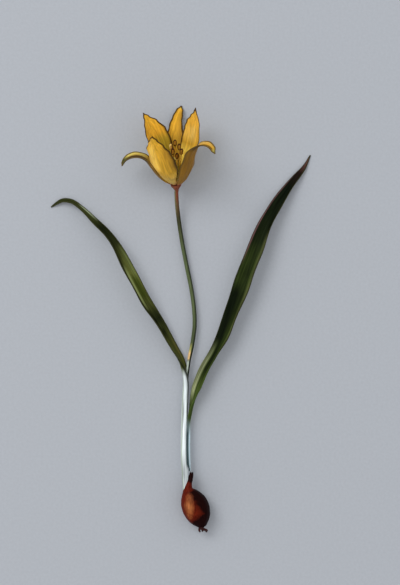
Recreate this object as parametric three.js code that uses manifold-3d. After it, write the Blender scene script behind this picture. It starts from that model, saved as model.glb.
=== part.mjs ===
// A wild tulip with one open yellow flower, lifted with its bulb and laid on a table.
// It is one natural plant: bulb, basal plate with root stubs, stem, two leaves whose bases sheathe
// the stem, six tepals in two whorls, six stamens and a pistil.
// Units are millimetres and degrees. +Z is up from the table, +Y runs from the bulb to the flower,
// and +X is to the right for someone who looks down on the plant. The origin is the middle of the
// flat spot on which the bulb rests.
import * as THREE from "three";
import { mergeVertices } from "three/addons/utils/BufferGeometryUtils.js";
import Module from "manifold-3d";

const wasm = await Module();
wasm.setup();

// Driving sizes
const SEAT_GAP = 0.3; // clearance between pieces that touch on the plant
const LEAF_THICKNESS = 0.9;
const LEAF_RIM_THICKNESS = 0.65;
const TEPAL_THICKNESS = 0.78;
const TEPAL_RIM_THICKNESS = 0.62;
const STEM_SIDES = 12;
const LEAF_STATIONS = 50;
const TEPAL_STATIONS = 20;
const BLADE_COLUMNS = 8;

const BURIED_STEM_RADIUS = 0.95; // the pale stretch that grew below ground
const STEM_RADIUS = 1.35;
const SHEATH_RADIUS = 1.65; // middle of the wall of the upper leaf's sheath, from the stem's middle
const OUTER_SHEATH_RADIUS = 2.85; // the lower leaf's, which clasps the other from the right

const FLOWER_FOOT = [-12.7, 207.4, 12];
const FLOWER_LEAN = 6; // of its axis to the left, seen from above
const FLOWER_RISE = 28; // of its axis from the table

const FLOWER_HEART_LEAN = 5; // of the stamens and pistil from its axis, to the right

const FILAMENT_RADIUS = 0.34;
const STAMEN_RING = 1.28; // radius of the ring on which the filaments stand
const RECEPTACLE_TOP = 2.1; // height along the flower's axis
const ANTHER_LENGTH = 4.6;

const MATERIALS = {
  tunic: { color: "#6b2a16", roughness: 0.45 },
  roots: { color: "#2e1511", roughness: 0.9 },
  stem: { color: "#5d6a3c", roughness: 0.55 },
  leaf: { color: "#35451f", roughness: 0.5 },
  tepal: { color: "#d9a52a", roughness: 0.6 },
  filament: { color: "#c99a35", roughness: 0.6 },
  anther: { color: "#a8762a", roughness: 0.85 },
  pistil: { color: "#9aa04a", roughness: 0.6 },
};

const radians = THREE.MathUtils.degToRad;
const point = ([x, y, z]) => new THREE.Vector3(x, y, z);
const UP = new THREE.Vector3(0, 0, 1);

// Solids and meshes

// A closed geometry from a list of corners and a list of triangles of their indices.
function geometryOf(corners, triangles) {
  const geometry = new THREE.BufferGeometry().setFromPoints(corners);
  geometry.setIndex(triangles.flat());
  geometry.computeVertexNormals();
  return geometry;
}

function solidOf(geometry) {
  const bare = geometry.clone();
  bare.deleteAttribute("normal");
  bare.deleteAttribute("uv");
  const merged = mergeVertices(bare, 1e-4);
  return new wasm.Manifold(
    new wasm.Mesh({
      numProp: 3,
      vertProperties: new Float32Array(merged.attributes.position.array),
      triVerts: new Uint32Array(merged.index.array),
    }),
  );
}

function geometryOfSolid(solid) {
  const { vertProperties, triVerts } = solid.getMesh();
  const geometry = new THREE.BufferGeometry();
  geometry.setAttribute("position", new THREE.BufferAttribute(vertProperties, 3));
  geometry.setIndex(new THREE.BufferAttribute(triVerts, 1));
  geometry.computeVertexNormals();
  return geometry;
}

const joined = (geometries) =>
  geometryOfSolid(geometries.map(solidOf).reduce((whole, next) => whole.add(next)));
const cutBy = (geometry, tool) => geometryOfSolid(solidOf(geometry).subtract(solidOf(tool)));

// Nothing reaches below the table, so what meets it gets a small flat spot there.
const trimAtTable = (geometry) => geometryOfSolid(solidOf(geometry).trimByPlane([0, 0, 1], 0));

// A closed body through rings of as many corners each, counter-clockwise seen from its far end.
function loft(rings) {
  const sides = rings[0].length;
  const last = rings.length - 1;
  const middle = (ring) =>
    ring.reduce((sum, corner) => sum.add(corner), new THREE.Vector3()).divideScalar(sides);
  const corners = [...rings.flat(), middle(rings[0]), middle(rings[last])];
  const [foot, head] = [corners.length - 2, corners.length - 1];
  const triangles = [];
  for (let j = 0; j < sides; j++) {
    const next = (j + 1) % sides;
    for (let i = 0; i < last; i++) {
      const [a, b] = [i * sides + j, i * sides + next];
      const [c, d] = [b + sides, a + sides];
      triangles.push([a, b, c], [a, c, d]);
    }
    triangles.push([foot, next, j], [head, last * sides + j, last * sides + next]);
  }
  return geometryOf(corners, triangles);
}

// A ring of corners at radius(angle) round a place, in the plane that two directions span.
function ring(middle, right, away, sides, radius) {
  return Array.from({ length: sides }, (_, j) => {
    const angle = (2 * Math.PI * j) / sides;
    const reach = typeof radius === "function" ? radius(angle) : radius;
    return middle
      .clone()
      .addScaledVector(right, reach * Math.cos(angle))
      .addScaledVector(away, reach * Math.sin(angle));
  });
}

// A round rod along a curve, with its radius given at each share of its length.
function rod(curve, radius, stations, sides) {
  const shares = Array.from({ length: stations + 1 }, (_, i) => i / stations);
  return loft(
    shares.map((share) => {
      const along = curve.getTangentAt(share);
      const right = new THREE.Vector3().crossVectors(along, UP).normalize();
      const away = new THREE.Vector3().crossVectors(along, right);
      return ring(curve.getPointAt(share), right, away, sides, radius(share));
    }),
  );
}

// A value that changes smoothly through [share, value] pairs, level at each pair.
function eased(pairs, share) {
  const next = Math.max(1, pairs.findIndex(([at]) => at >= share));
  const [[from, low], [to, high]] = [pairs[next - 1], pairs[next]];
  return low + (high - low) * THREE.MathUtils.smoothstep(share, from, to);
}

// A thin blade, whose cross-section is an arc, through stations that each give its midrib, its
// direction along, the direction inward to the arc's middle, its width along the arc and the
// arc's angle. Both faces are split into triangles alike.
function blade(stations, thickness, rimThickness) {
  const columns = BLADE_COLUMNS;
  const grid = stations.map(({ midrib, along, inward, width, wrap }) => {
    const across = new THREE.Vector3().crossVectors(along, inward).normalize();
    const radius = width / wrap;
    return Array.from({ length: columns + 1 }, (_, k) => {
      const angle = wrap * (k / columns - 0.5);
      const surface = midrib
        .clone()
        .addScaledVector(inward, radius * (1 - Math.cos(angle)))
        .addScaledVector(across, radius * Math.sin(angle));
      const outward = inward
        .clone()
        .multiplyScalar(-Math.cos(angle))
        .addScaledVector(across, Math.sin(angle));
      const rim = (2 * k) / columns - 1;
      const half = THREE.MathUtils.lerp(thickness, rimThickness, rim * rim) / 2;
      return {
        outer: surface.clone().addScaledVector(outward, half),
        inner: surface.clone().addScaledVector(outward, -half),
      };
    });
  });
  const row = columns + 1;
  const last = stations.length - 1;
  const cells = grid.flat();
  const corners = [...cells.map((cell) => cell.outer), ...cells.map((cell) => cell.inner)];
  const at = (i, k) => i * row + k;
  const under = (index) => index + cells.length;
  const wall = (p, q) => [
    [p, q, under(q)],
    [p, under(q), under(p)],
  ];
  const triangles = [];
  for (let i = 0; i < last; i++) {
    for (let k = 0; k < columns; k++) {
      const [a, b, c, d] = [at(i, k), at(i + 1, k), at(i + 1, k + 1), at(i, k + 1)];
      triangles.push([a, b, c], [a, c, d]);
      triangles.push([under(a), under(c), under(b)], [under(a), under(d), under(c)]);
    }
    triangles.push(...wall(at(i + 1, 0), at(i, 0)));
    triangles.push(...wall(at(i, columns), at(i + 1, columns)));
  }
  for (let k = 0; k < columns; k++) {
    triangles.push(...wall(at(0, k), at(0, k + 1)));
    triangles.push(...wall(at(last, k + 1), at(last, k)));
  }
  return geometryOf(corners, triangles);
}

// The stem

// Middle of the stem from inside the bulb to the flower's foot. It sags a little between them.
const STEM_LINE = [
  [-5.6, 6.3, 8],
  [-6.2, 13, 8],
  [-7.1, 26, 7.4],
  [-7.4, 42, 6.4],
  [-7.1, 58, 5.6],
  [-6.6, 72, 5],
  [-5.9, 84, 4.6],
  [-4.4, 96, 4.2],
  [-2.4, 106, 3.9],
  [-0.9, 118, 3.5],
  [-1.2, 128, 3.2],
  [-2.9, 141, 2.9],
  [-5.7, 155, 2.8],
  [-8.8, 171, 3.2],
  [-11.1, 186, 4.8],
  [-12.3, 197, 7.6],
  [-12.6, 203, 9.9],
  FLOWER_FOOT,
].map(point);
const STEM_CURVE = new THREE.CatmullRomCurve3(STEM_LINE, false, "centripetal");

// The place on the stem's middle line at a distance y from the origin.
function stemAt(y) {
  let [low, high] = [0, 1];
  while (high - low > 1e-5) {
    const half = (low + high) / 2;
    if (STEM_CURVE.getPointAt(half).y < y) low = half;
    else high = half;
  }
  return STEM_CURVE.getPointAt(low);
}

// The flower's own axes: z along its axis, x to the right and -y towards someone above the plant.
const flowerFrame = new THREE.Matrix4()
  .makeTranslation(...FLOWER_FOOT)
  .multiply(new THREE.Matrix4().makeRotationZ(radians(FLOWER_LEAN)))
  .multiply(new THREE.Matrix4().makeRotationX(radians(FLOWER_RISE - 90)));

// Radius of the receptacle, the stem's swollen head, at heights up the flower's axis.
const RECEPTACLE = [
  [-2.4, 1.35],
  [-1.4, 1.6],
  [-0.4, 2.05],
  [0.5, 2.6],
  [1.3, 3.1],
  [1.9, 3.5],
  [RECEPTACLE_TOP, 3.35],
];

function stemGeometry() {
  const radius = (share) =>
    eased(
      [
        [0, BURIED_STEM_RADIUS],
        [0.36, BURIED_STEM_RADIUS],
        [0.5, STEM_RADIUS],
        [0.9, STEM_RADIUS],
        [1, 1.3],
      ],
      share,
    );
  const shaft = rod(STEM_CURVE, radius, 56, STEM_SIDES);
  const axis = (height) => new THREE.Vector3(0, 0, height);
  const right = new THREE.Vector3(1, 0, 0);
  const away = new THREE.Vector3(0, 1, 0);
  const head = loft(
    RECEPTACLE.map(([height, reach]) => ring(axis(height), right, away, 18, reach)),
  ).applyMatrix4(flowerFrame);
  return joined([shaft, head]);
}

// The bulb

// Slices across the bulb, from the root end to the torn tip of its tunic:
// y, middle x, half width, middle z, half depth.
const BULB_SLICES = [
  [-12.2, 3.2, 2.2, 7, 2],
  [-11.2, 2.7, 3.9, 7.2, 3.5],
  [-9.2, 1.8, 5.7, 7.5, 5.2],
  [-6.5, 1.2, 7.4, 7.7, 6.9],
  [-3.2, 0.5, 8.6, 7.9, 7.9],
  [1.3, -0.4, 9, 7.95, 8.3],
  [5, -1.1, 8.4, 8, 7.8],
  [8, -1.8, 7.2, 8, 6.8],
  [10.2, -2.8, 5.7, 8, 5.4],
  [11.8, -3.9, 4.3, 8, 4.4],
  [13, -5, 2.7, 8, 3.6],
  [15.5, -4.7, 2.1, 8, 3.1],
  [18.6, -3.7, 1.65, 7.8, 2.5],
  [21, -3.2, 1.5, 7.7, 1.9],
  [22.9, -2.8, 1.1, 7.7, 1.2],
];
const BULB_SIDES = 32;
const TUNIC_RIBS = 8; // low pleats of the papery tunic, from root end to neck
const TUNIC_RIB_DEPTH = 0.014; // of the radius

function bulbGeometry() {
  const right = new THREE.Vector3(1, 0, 0);
  const down = new THREE.Vector3(0, 0, -1);
  const outline = new THREE.CatmullRomCurve3(
    BULB_SLICES.map(([y, x, , z]) => new THREE.Vector3(x, y, z)),
  );
  const reach = new THREE.CatmullRomCurve3(
    BULB_SLICES.map(([, , width, , depth]) => new THREE.Vector3(width, depth, 0)),
  );
  const stations = 34;
  const rings = Array.from({ length: stations + 1 }, (_, i) => {
    const middle = outline.getPoint(i / stations);
    const half = reach.getPoint(i / stations);
    return ring(middle, right, down, BULB_SIDES, (angle) => {
      const oval = 1 / Math.hypot(Math.cos(angle) / half.x, Math.sin(angle) / half.y);
      return oval * (1 + TUNIC_RIB_DEPTH * Math.cos(TUNIC_RIBS * angle));
    });
  });
  const floor = stemAt(0).addScaledVector(STEM_CURVE.getTangentAt(0), -SEAT_GAP);
  const socket = new THREE.CatmullRomCurve3([floor, ...[10, 14, 18, 22, 27].map(stemAt)]);
  const socketRadius = SHEATH_RADIUS + LEAF_THICKNESS / 2 + SEAT_GAP;
  return trimAtTable(cutBy(loft(rings), rod(socket, () => socketRadius, 10, 20)));
}

// The basal plate, with the stubs of last year's roots. Each stub is its root's middle line.
const PLATE = { y: [-13.6, -12.5], x: 3.3, z: 7, radius: [1.5, 2] };
const ROOT_STUBS = [
  { line: [[2.6, -12.9, 7.6], [2.2, -14.1, 7.9], [2.5, -15.5, 7.4]], radius: 0.95 },
  { line: [[4, -13.4, 7.2], [5.7, -13.95, 7.4], [6.9, -14.4, 7.1], [6.6, -15.5, 6.5]], radius: 1.05 },
  { line: [[3.4, -12.9, 6.2], [3.8, -14.2, 5.2], [4.6, -15.2, 4.6]], radius: 0.6 },
  { line: [[3.2, -12.9, 7.9], [3.9, -14.2, 8.9], [4.1, -15, 9.6]], radius: 0.55 },
];

function basalPlateGeometry() {
  const right = new THREE.Vector3(1, 0, 0);
  const down = new THREE.Vector3(0, 0, -1);
  const plate = loft(
    [0, 1].map((end) =>
      ring(new THREE.Vector3(PLATE.x, PLATE.y[end], PLATE.z), right, down, 14, PLATE.radius[end]),
    ),
  );
  const stubs = ROOT_STUBS.map(({ line, radius }) =>
    rod(new THREE.CatmullRomCurve3(line.map(point)), (share) => radius * (1 - 0.45 * share), 6, 8),
  );
  return joined([plate, ...stubs]);
}

// The leaves

// Each leaf first sheathes the stem, its midrib on the side given, and then leaves it as a blade.
// Rows: x, y, z of the midrib, width along the arc, wrap and roll in degrees. A roll of 0 turns
// the hollow of the arc level towards the stem, and 90 turns it up.
const LEFT_LEAF = {
  side: 1,
  sheathRadius: SHEATH_RADIUS,
  sheathStations: [6.4, 13, 20, 30, 40, 50, 60, 72],
  sheathWrap: 325,
  blade: [
    [-7.9, 82, 4.7, 8.6, 260, 0],
    [-8.9, 90, 4.7, 8.4, 175, 12],
    [-11.2, 96.5, 5, 8.4, 135, 26],
    [-15, 103, 5.6, 8.6, 112, 34],
    [-23, 117.5, 7.8, 9, 98, 42],
    [-33.2, 134, 10, 9.4, 88, 50],
    [-41.8, 150, 11.2, 9.3, 82, 56],
    [-50, 166, 11, 8.2, 80, 52],
    [-58, 177.5, 9.6, 7, 80, 46],
    [-66.4, 186, 7.4, 6, 80, 42],
    [-74, 193.2, 5, 5.2, 82, 42],
    [-80.5, 198, 3.2, 4.4, 84, 46],
    [-86.4, 199, 1.8, 3.4, 84, 52],
    [-91.2, 196.8, 0.9, 2.1, 84, 60],
    [-94.2, 194.9, 0.35, 0.7, 60, 70],
  ],
};
const RIGHT_LEAF = {
  side: -1,
  sheathRadius: OUTER_SHEATH_RADIUS,
  sheathStations: [24, 32, 40, 48, 55],
  sheathWrap: 130,
  blade: [
    [-2.9, 63, 5.2, 6.6, 125, 2],
    [-1.1, 70, 5.1, 8, 118, 22],
    [2, 78.5, 5.3, 9.8, 112, 42],
    [6.2, 89, 5.9, 9.6, 104, 46],
    [12.4, 100, 6.7, 9.2, 96, 48],
    [18.2, 112, 7.8, 10, 82, 58],
    [25, 131, 9.4, 10.8, 66, 72],
    [32, 150.5, 10.2, 11.6, 58, 80],
    [38, 166.5, 9.8, 11.3, 58, 80],
    [45, 183.5, 8, 9.8, 60, 76],
    [52.6, 197, 5.4, 8.2, 64, 70],
    [59.2, 206.2, 3.4, 7, 70, 66],
    [65.4, 214.4, 1.9, 5.2, 76, 66],
    [70.4, 221, 0.95, 2.9, 80, 70],
    [74.3, 228.6, 0.35, 0.7, 60, 76],
  ],
};

function leafGeometry({ side, sheathRadius, sheathStations, sheathWrap, blade: rows }) {
  const sheathWidth = sheathRadius * radians(sheathWrap);
  const sheath = sheathStations.map((y) => {
    const { x, z } = stemAt(y);
    return [x - side * sheathRadius, y, z, sheathWidth, sheathWrap, 0];
  });
  const all = [...sheath, ...rows];
  const line = new THREE.CatmullRomCurve3(
    all.map(([x, y, z]) => point([x, y, z])),
    false,
    "centripetal",
  );
  const form = new THREE.CatmullRomCurve3(
    all.map(([, , , width, wrap, roll]) => point([width, wrap, roll])),
  );
  const stations = Array.from({ length: LEAF_STATIONS + 1 }, (_, i) => {
    const at = line.getUtoTmapping(i / LEAF_STATIONS);
    const along = line.getTangent(at);
    const level = new THREE.Vector3().crossVectors(along, UP).normalize();
    const up = new THREE.Vector3().crossVectors(level, along);
    const shape = form.getPoint(at);
    const roll = radians(shape.z);
    const inward = level.multiplyScalar(side * Math.cos(roll)).addScaledVector(up, Math.sin(roll));
    return { midrib: line.getPoint(at), along, inward, width: shape.x, wrap: radians(shape.y) };
  });
  return trimAtTable(blade(stations, LEAF_THICKNESS, LEAF_RIM_THICKNESS));
}

// The flower, in its own frame

// Width share and wrap in degrees along a tepal. The inner tepal in front and the outer one on the
// right are broader below their middles than the rest of their whorls.
const INNER_FORM = [
  [0, 0.2, 90],
  [0.1, 0.36, 86],
  [0.25, 0.7, 84],
  [0.42, 0.95, 84],
  [0.56, 1, 80],
  [0.7, 0.9, 74],
  [0.83, 0.6, 70],
  [0.93, 0.26, 66],
  [1, 0.06, 60],
];
const WIDE_FORM = [
  [0, 0.2, 90],
  [0.1, 0.36, 86],
  [0.25, 0.7, 84],
  [0.42, 0.95, 84],
  [0.56, 1, 80],
  [0.7, 0.95, 74],
  [0.8, 0.8, 71],
  [0.88, 0.5, 68],
  [0.94, 0.2, 64],
  [1, 0.06, 60],
];
const FRONT_FORM = [
  [0, 0.2, 90],
  [0.1, 0.4, 104],
  [0.25, 0.82, 112],
  [0.42, 1.04, 96],
  [0.56, 1.02, 90],
  [0.7, 0.9, 82],
  [0.83, 0.62, 76],
  [0.93, 0.28, 70],
  [1, 0.06, 60],
];
const OUTER_FORM = [
  [0, 0.3, 50],
  [0.1, 0.58, 50],
  [0.25, 0.9, 52],
  [0.4, 1, 58],
  [0.55, 0.86, 66],
  [0.7, 0.64, 74],
  [0.83, 0.5, 78],
  [0.93, 0.34, 76],
  [1, 0.08, 60],
];
const LEFT_FORM = [
  [0, 0.3, 50],
  [0.1, 0.58, 50],
  [0.25, 0.9, 52],
  [0.4, 1, 58],
  [0.55, 0.86, 66],
  [0.7, 0.62, 76],
  [0.83, 0.5, 86],
  [0.93, 0.44, 92],
  [0.98, 0.36, 92],
  [1, 0.2, 90],
];
const RIGHT_FORM = [
  [0, 0.3, 50],
  [0.1, 0.72, 56],
  [0.25, 1, 58],
  [0.4, 1, 60],
  [0.55, 0.86, 66],
  [0.7, 0.64, 74],
  [0.83, 0.5, 78],
  [0.93, 0.34, 76],
  [1, 0.08, 60],
];

// Each tepal's midrib as [radius, height] from the flower's axis, and where it points round it:
// -90 is towards someone above the plant, and 0 to the right. Sway moves the tip round the axis,
// and cup turns the margins in by that many degrees more than the form.
const TEPALS = [
  {
    name: "tepal_inner_front",
    turn: -119,
    sway: 2,
    cup: 6,
    form: FRONT_FORM,
    width: 20.4,
    line: [[2.4, 2.75], [6.3, 6], [11.3, 11.4], [16.2, 19], [20.2, 28.5], [24, 39], [27, 48]],
  },
  {
    name: "tepal_inner_left",
    turn: 130,
    sway: 2.2,
    cup: 0,
    form: INNER_FORM,
    width: 20.6,
    line: [[2.4, 2.75], [5.1, 6.4], [8.5, 11.4], [11.2, 18], [13.4, 26.6], [16.6, 37], [22.4, 47.2]],
  },
  {
    name: "tepal_inner_right",
    turn: 28,
    sway: 1,
    cup: 0,
    form: WIDE_FORM,
    width: 21.4,
    line: [[2.4, 2.75], [5.2, 6.5], [8.8, 12.2], [13.2, 20], [17.4, 29.5], [19.8, 39.5], [20.4, 49.2]],
  },
  {
    name: "tepal_outer_left",
    turn: 180,
    sway: 0,
    cup: 0,
    form: LEFT_FORM,
    width: 13,
    line: [
      [3.4, 2.65], [7.2, 5.7], [11.4, 10.6], [14.8, 16.6], [17.8, 21.6], [21.4, 24], [25.4, 24.4],
      [29.8, 22.8], [33, 19],
    ],
  },
  {
    name: "tepal_outer_right",
    turn: -42,
    sway: 2.6,
    cup: 0,
    form: RIGHT_FORM,
    width: 15.8,
    line: [
      [3.4, 2.65], [7.1, 6.1], [10.8, 12.2], [14.2, 20.4], [17.6, 27.6], [21.8, 31.9], [26.4, 33.7],
      [30.9, 32.9], [33.6, 29],
    ],
  },
  {
    name: "tepal_outer_back",
    turn: 87,
    sway: -6.9,
    cup: 0,
    form: OUTER_FORM,
    width: 15,
    line: [[3.4, 2.65], [7.8, 5.9], [13, 12.2], [17.8, 20.2], [23.2, 28.4], [29.3, 35.4], [35.35, 41]],
  },
];

function tepalGeometry({ turn, sway, cup, form, width, line }) {
  const out = new THREE.Vector3(Math.cos(radians(turn)), Math.sin(radians(turn)), 0);
  const round = new THREE.Vector3(-out.y, out.x, 0);
  const midrib = new THREE.CatmullRomCurve3(
    line.map(([radius, height], i) => {
      const share = i / (line.length - 1);
      return new THREE.Vector3(0, 0, height)
        .addScaledVector(out, radius)
        .addScaledVector(round, sway * share ** 3);
    }),
    false,
    "centripetal",
  );
  const widths = form.map(([share, part]) => [share, part * width]);
  const wraps = form.map(([share, , wrap]) => [share, wrap + cup * Math.min(1, 4 * share)]);
  const stations = Array.from({ length: TEPAL_STATIONS + 1 }, (_, i) => {
    const share = i / TEPAL_STATIONS;
    const along = midrib.getTangentAt(share);
    const inward = new THREE.Vector3().crossVectors(along, round).normalize();
    return {
      midrib: midrib.getPointAt(share),
      along,
      inward,
      width: eased(widths, share),
      wrap: radians(eased(wraps, share)),
    };
  });
  return blade(stations, TEPAL_THICKNESS, TEPAL_RIM_THICKNESS);
}

// The flower's heart, in the frame of its own axis, which stands on the receptacle

// Each stamen's turn round the axis, and the radius and height of its filament's tip.
const STAMENS = [
  { turn: -80, radius: 4, height: 19.2 },
  { turn: -26, radius: 3.9, height: 21 },
  { turn: 42, radius: 3.2, height: 22.6 },
  { turn: 92, radius: 4.2, height: 24.4 },
  { turn: 144, radius: 3.4, height: 23.2 },
  { turn: -128, radius: 3, height: 21.4 },
];

function filamentLine({ turn, radius, height }) {
  const out = new THREE.Vector3(Math.cos(radians(turn)), Math.sin(radians(turn)), 0);
  const place = (reach, rise) => new THREE.Vector3(0, 0, rise).addScaledVector(out, reach);
  return new THREE.CatmullRomCurve3([
    place(STAMEN_RING, SEAT_GAP),
    place(STAMEN_RING + 0.9, 4),
    place(STAMEN_RING + 1.6, 11),
    place(radius, height),
  ]);
}

function filamentGeometry(stamen) {
  const taper = (share) => FILAMENT_RADIUS * (1.15 - 0.25 * share);
  return rod(filamentLine(stamen), taper, 8, 7);
}

// An anther is two pollen sacs side by side on the filament's tip, and leans as it does.
function antherGeometry(stamen) {
  const line = filamentLine(stamen);
  const along = line.getTangentAt(1);
  const out = new THREE.Vector3(along.x, along.y, 0).normalize();
  const round = new THREE.Vector3().crossVectors(UP, out);
  const sacs = [-1, 1].map((side) => {
    const sac = new THREE.SphereGeometry(1, 10, 8).scale(0.72, 0.9, ANTHER_LENGTH / 2);
    const turn = new THREE.Matrix4().makeBasis(
      round,
      new THREE.Vector3().crossVectors(along, round),
      along,
    );
    const place = line
      .getPointAt(1)
      .addScaledVector(along, ANTHER_LENGTH / 2 + SEAT_GAP / 2)
      .addScaledVector(round, side * 0.5);
    return sac.applyMatrix4(turn).translate(...place);
  });
  return joined(sacs);
}

// The ovary is three-sided; the stigma's three lobes sit on it.
const OVARY = [
  [SEAT_GAP, 0.55],
  [1.4, 0.7],
  [4.4, 1.35],
  [8, 1.7],
  [12, 1.6],
  [15, 1.15],
  [16.4, 0.95],
];
const STIGMA_FOOT = 16.5;

function ovaryGeometry() {
  const right = new THREE.Vector3(1, 0, 0);
  const away = new THREE.Vector3(0, 1, 0);
  return loft(
    OVARY.map(([height, reach]) =>
      ring(new THREE.Vector3(0, 0, height), right, away, 18, (angle) =>
        reach * (1 + 0.12 * Math.cos(3 * angle)),
      ),
    ),
  );
}

function stigmaGeometry() {
  const lobes = [60, 180, 300].map((turn) =>
    new THREE.SphereGeometry(1, 10, 8)
      .scale(1.4, 0.7, 0.85)
      .translate(0.95, 0, STIGMA_FOOT + SEAT_GAP + 0.85)
      .applyMatrix4(new THREE.Matrix4().makeRotationZ(radians(turn))),
  );
  return joined(lobes);
}

// The plant

const plant = new THREE.Group();

function add(group, name, finish, geometry) {
  const skin = new THREE.MeshStandardMaterial({ metalness: 0, ...MATERIALS[finish] });
  const mesh = new THREE.Mesh(geometry, skin);
  mesh.name = name;
  group.add(mesh);
  return mesh;
}

add(plant, "bulb", "tunic", bulbGeometry());
add(plant, "basal_plate", "roots", basalPlateGeometry());
add(plant, "stem", "stem", stemGeometry());
add(plant, "leaf_left", "leaf", leafGeometry(LEFT_LEAF));
add(plant, "leaf_right", "leaf", leafGeometry(RIGHT_LEAF));

const flower = new THREE.Group();
flower.applyMatrix4(flowerFrame);
plant.add(flower);

for (const tepal of TEPALS) add(flower, tepal.name, "tepal", tepalGeometry(tepal));

const heart = new THREE.Group();
heart.position.z = RECEPTACLE_TOP + 0.1;
heart.rotation.y = radians(FLOWER_HEART_LEAN);
flower.add(heart);

STAMENS.forEach((stamen, i) => {
  add(heart, `filament_${i + 1}`, "filament", filamentGeometry(stamen));
  add(heart, `anther_${i + 1}`, "anther", antherGeometry(stamen));
});
add(heart, "ovary", "pistil", ovaryGeometry());
add(heart, "stigma", "pistil", stigmaGeometry());

export default plant;
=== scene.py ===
# A wild tulip plant laid on a pale floor: the fine surfaces of its bulb, stem, leaves and flower.
# Sizes are millimetres in the plant's own frame, which has +Z up from the floor and +Y from the bulb
# to the flower. Meshes are made in metres, and the lamp and the camera stand in metres too.
import math

import bpy
import numpy as np
from bpy.props import FloatProperty, FloatVectorProperty, IntProperty, PointerProperty
from mathutils import Matrix, Vector


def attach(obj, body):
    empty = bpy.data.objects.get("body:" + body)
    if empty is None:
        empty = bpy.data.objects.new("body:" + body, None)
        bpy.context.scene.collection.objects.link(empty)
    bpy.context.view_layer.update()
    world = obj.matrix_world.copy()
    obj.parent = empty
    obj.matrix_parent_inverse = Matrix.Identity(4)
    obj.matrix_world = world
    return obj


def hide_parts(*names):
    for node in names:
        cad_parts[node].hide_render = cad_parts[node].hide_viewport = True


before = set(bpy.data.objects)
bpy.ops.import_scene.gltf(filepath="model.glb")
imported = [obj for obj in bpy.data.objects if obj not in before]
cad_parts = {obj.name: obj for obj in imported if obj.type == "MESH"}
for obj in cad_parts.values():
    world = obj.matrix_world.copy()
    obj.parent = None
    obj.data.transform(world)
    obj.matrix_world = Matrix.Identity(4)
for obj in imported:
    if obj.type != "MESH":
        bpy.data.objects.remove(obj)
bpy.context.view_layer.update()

bl_info = {
    "name": "Wild Tulip Plant",
    "version": (1, 0, 0),
    "blender": (4, 5, 0),
    "location": "3D View > Sidebar > Tulip",
    "description": "Makes the bulb, stem, leaves and flower of a wild tulip plant, and its studio",
    "category": "Add Mesh",
}

MM = 0.001

# The stem and the shaft of leaf bases round it

STEM_LINE = [
    (-5.6, 6.3, 8), (-6.2, 13, 8), (-7.1, 26, 7.4), (-7.4, 42, 6.4), (-7.1, 58, 5.6), (-6.6, 72, 5),
    (-5.9, 84, 4.6), (-4.4, 96, 4.2), (-2.4, 106, 3.9), (-0.9, 118, 3.5), (-1.2, 128, 3.2),
    (-2.9, 141, 2.9), (-5.7, 155, 2.8), (-8.8, 171, 3.2), (-11.1, 186, 4.8), (-12.3, 197, 7.6),
    (-12.6, 203, 9.9), (-12.7, 207.4, 12),
]
STEM_RADIUS = [(0, 0.95), (0.36, 0.95), (0.5, 1.35), (0.9, 1.35), (1, 1.3)]  # share along, radius
RECEPTACLE = [  # height, radius
    (-2.4, 1.3), (-1.4, 1.55), (-0.4, 2), (0.5, 2.55), (1.3, 3.05), (1.9, 3.45), (2.1, 3.3),
]

# Rows of a leaf: x, y, z of its midrib, width, wrap of its cross-section and roll in degrees.
# A roll of 0 turns the hollow level towards the stem, and 90 turns it up. Over its foot a leaf
# narrows towards its lower end.
LEFT_LEAF = {
    "side": 1,
    "sheath": {"radius": 1.65, "wrap": 325, "reaches": [6.4, 13, 20, 30, 40, 50, 60, 72]},
    "foot": 0,
    "blade": [
        (-7.9, 82, 4.7, 8.6, 260, 0),
        (-8.9, 90, 4.7, 8.4, 175, 12),
        (-11.2, 96.5, 5, 8.4, 135, 26),
        (-15, 103, 5.6, 8.6, 112, 34),
        (-23, 117.5, 7.8, 9, 98, 42),
        (-33.2, 134, 10, 9.4, 88, 50),
        (-41.8, 150, 11.2, 9.3, 82, 56),
        (-50, 166, 11, 8.2, 80, 52),
        (-58, 177.5, 9.6, 7, 80, 46),
        (-66.4, 186, 7.4, 6, 80, 42),
        (-74, 193.2, 5, 5.2, 82, 42),
        (-80.5, 198, 3.2, 4.4, 84, 46),
        (-86.4, 199, 1.8, 3.4, 84, 52),
        (-91.2, 196.8, 0.9, 2.1, 84, 60),
        (-94.2, 194.9, 0.35, 0.7, 60, 70),
    ],
}
RIGHT_LEAF = {
    "side": -1,
    "sheath": {"radius": 2.85, "wrap": 130, "reaches": [24, 32, 40, 48, 55]},
    "foot": 5,
    "blade": [
        (-2.9, 63, 5.2, 6.6, 125, 2),
        (-1.1, 70, 5.1, 8, 118, 22),
        (2, 78.5, 5.3, 9.8, 112, 42),
        (6.2, 89, 5.9, 9.6, 104, 46),
        (12.4, 100, 6.7, 9.2, 96, 48),
        (18.2, 112, 7.8, 10, 82, 58),
        (25, 131, 9.4, 10.8, 66, 72),
        (32, 150.5, 10.2, 11.6, 58, 80),
        (38, 166.5, 9.8, 11.3, 58, 80),
        (45, 183.5, 8, 9.8, 60, 76),
        (52.6, 197, 5.4, 8.2, 64, 70),
        (59.2, 206.2, 3.4, 7, 70, 66),
        (65.4, 214.4, 1.9, 5.2, 76, 66),
        (70.4, 221, 0.95, 2.9, 80, 70),
        (74.3, 228.6, 0.35, 0.7, 60, 76),
    ],
}
LEAF_THICKNESS = (0.8, 0.5)  # at the midrib and near the margins
LEAF_STATIONS, LEAF_COLUMNS = 300, 48  # of its mesh, along it and across it
LEAF_WAVE_LENGTH = 31

# The flower stands on the stem's head; its own frame has z along its axis and x to the right.
FLOWER_LEAN = 6
FLOWER_RISE = 28
HEART_LEAN = 5  # of the stamens and pistil, to the right
RECEPTACLE_TOP = 2.1

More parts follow.
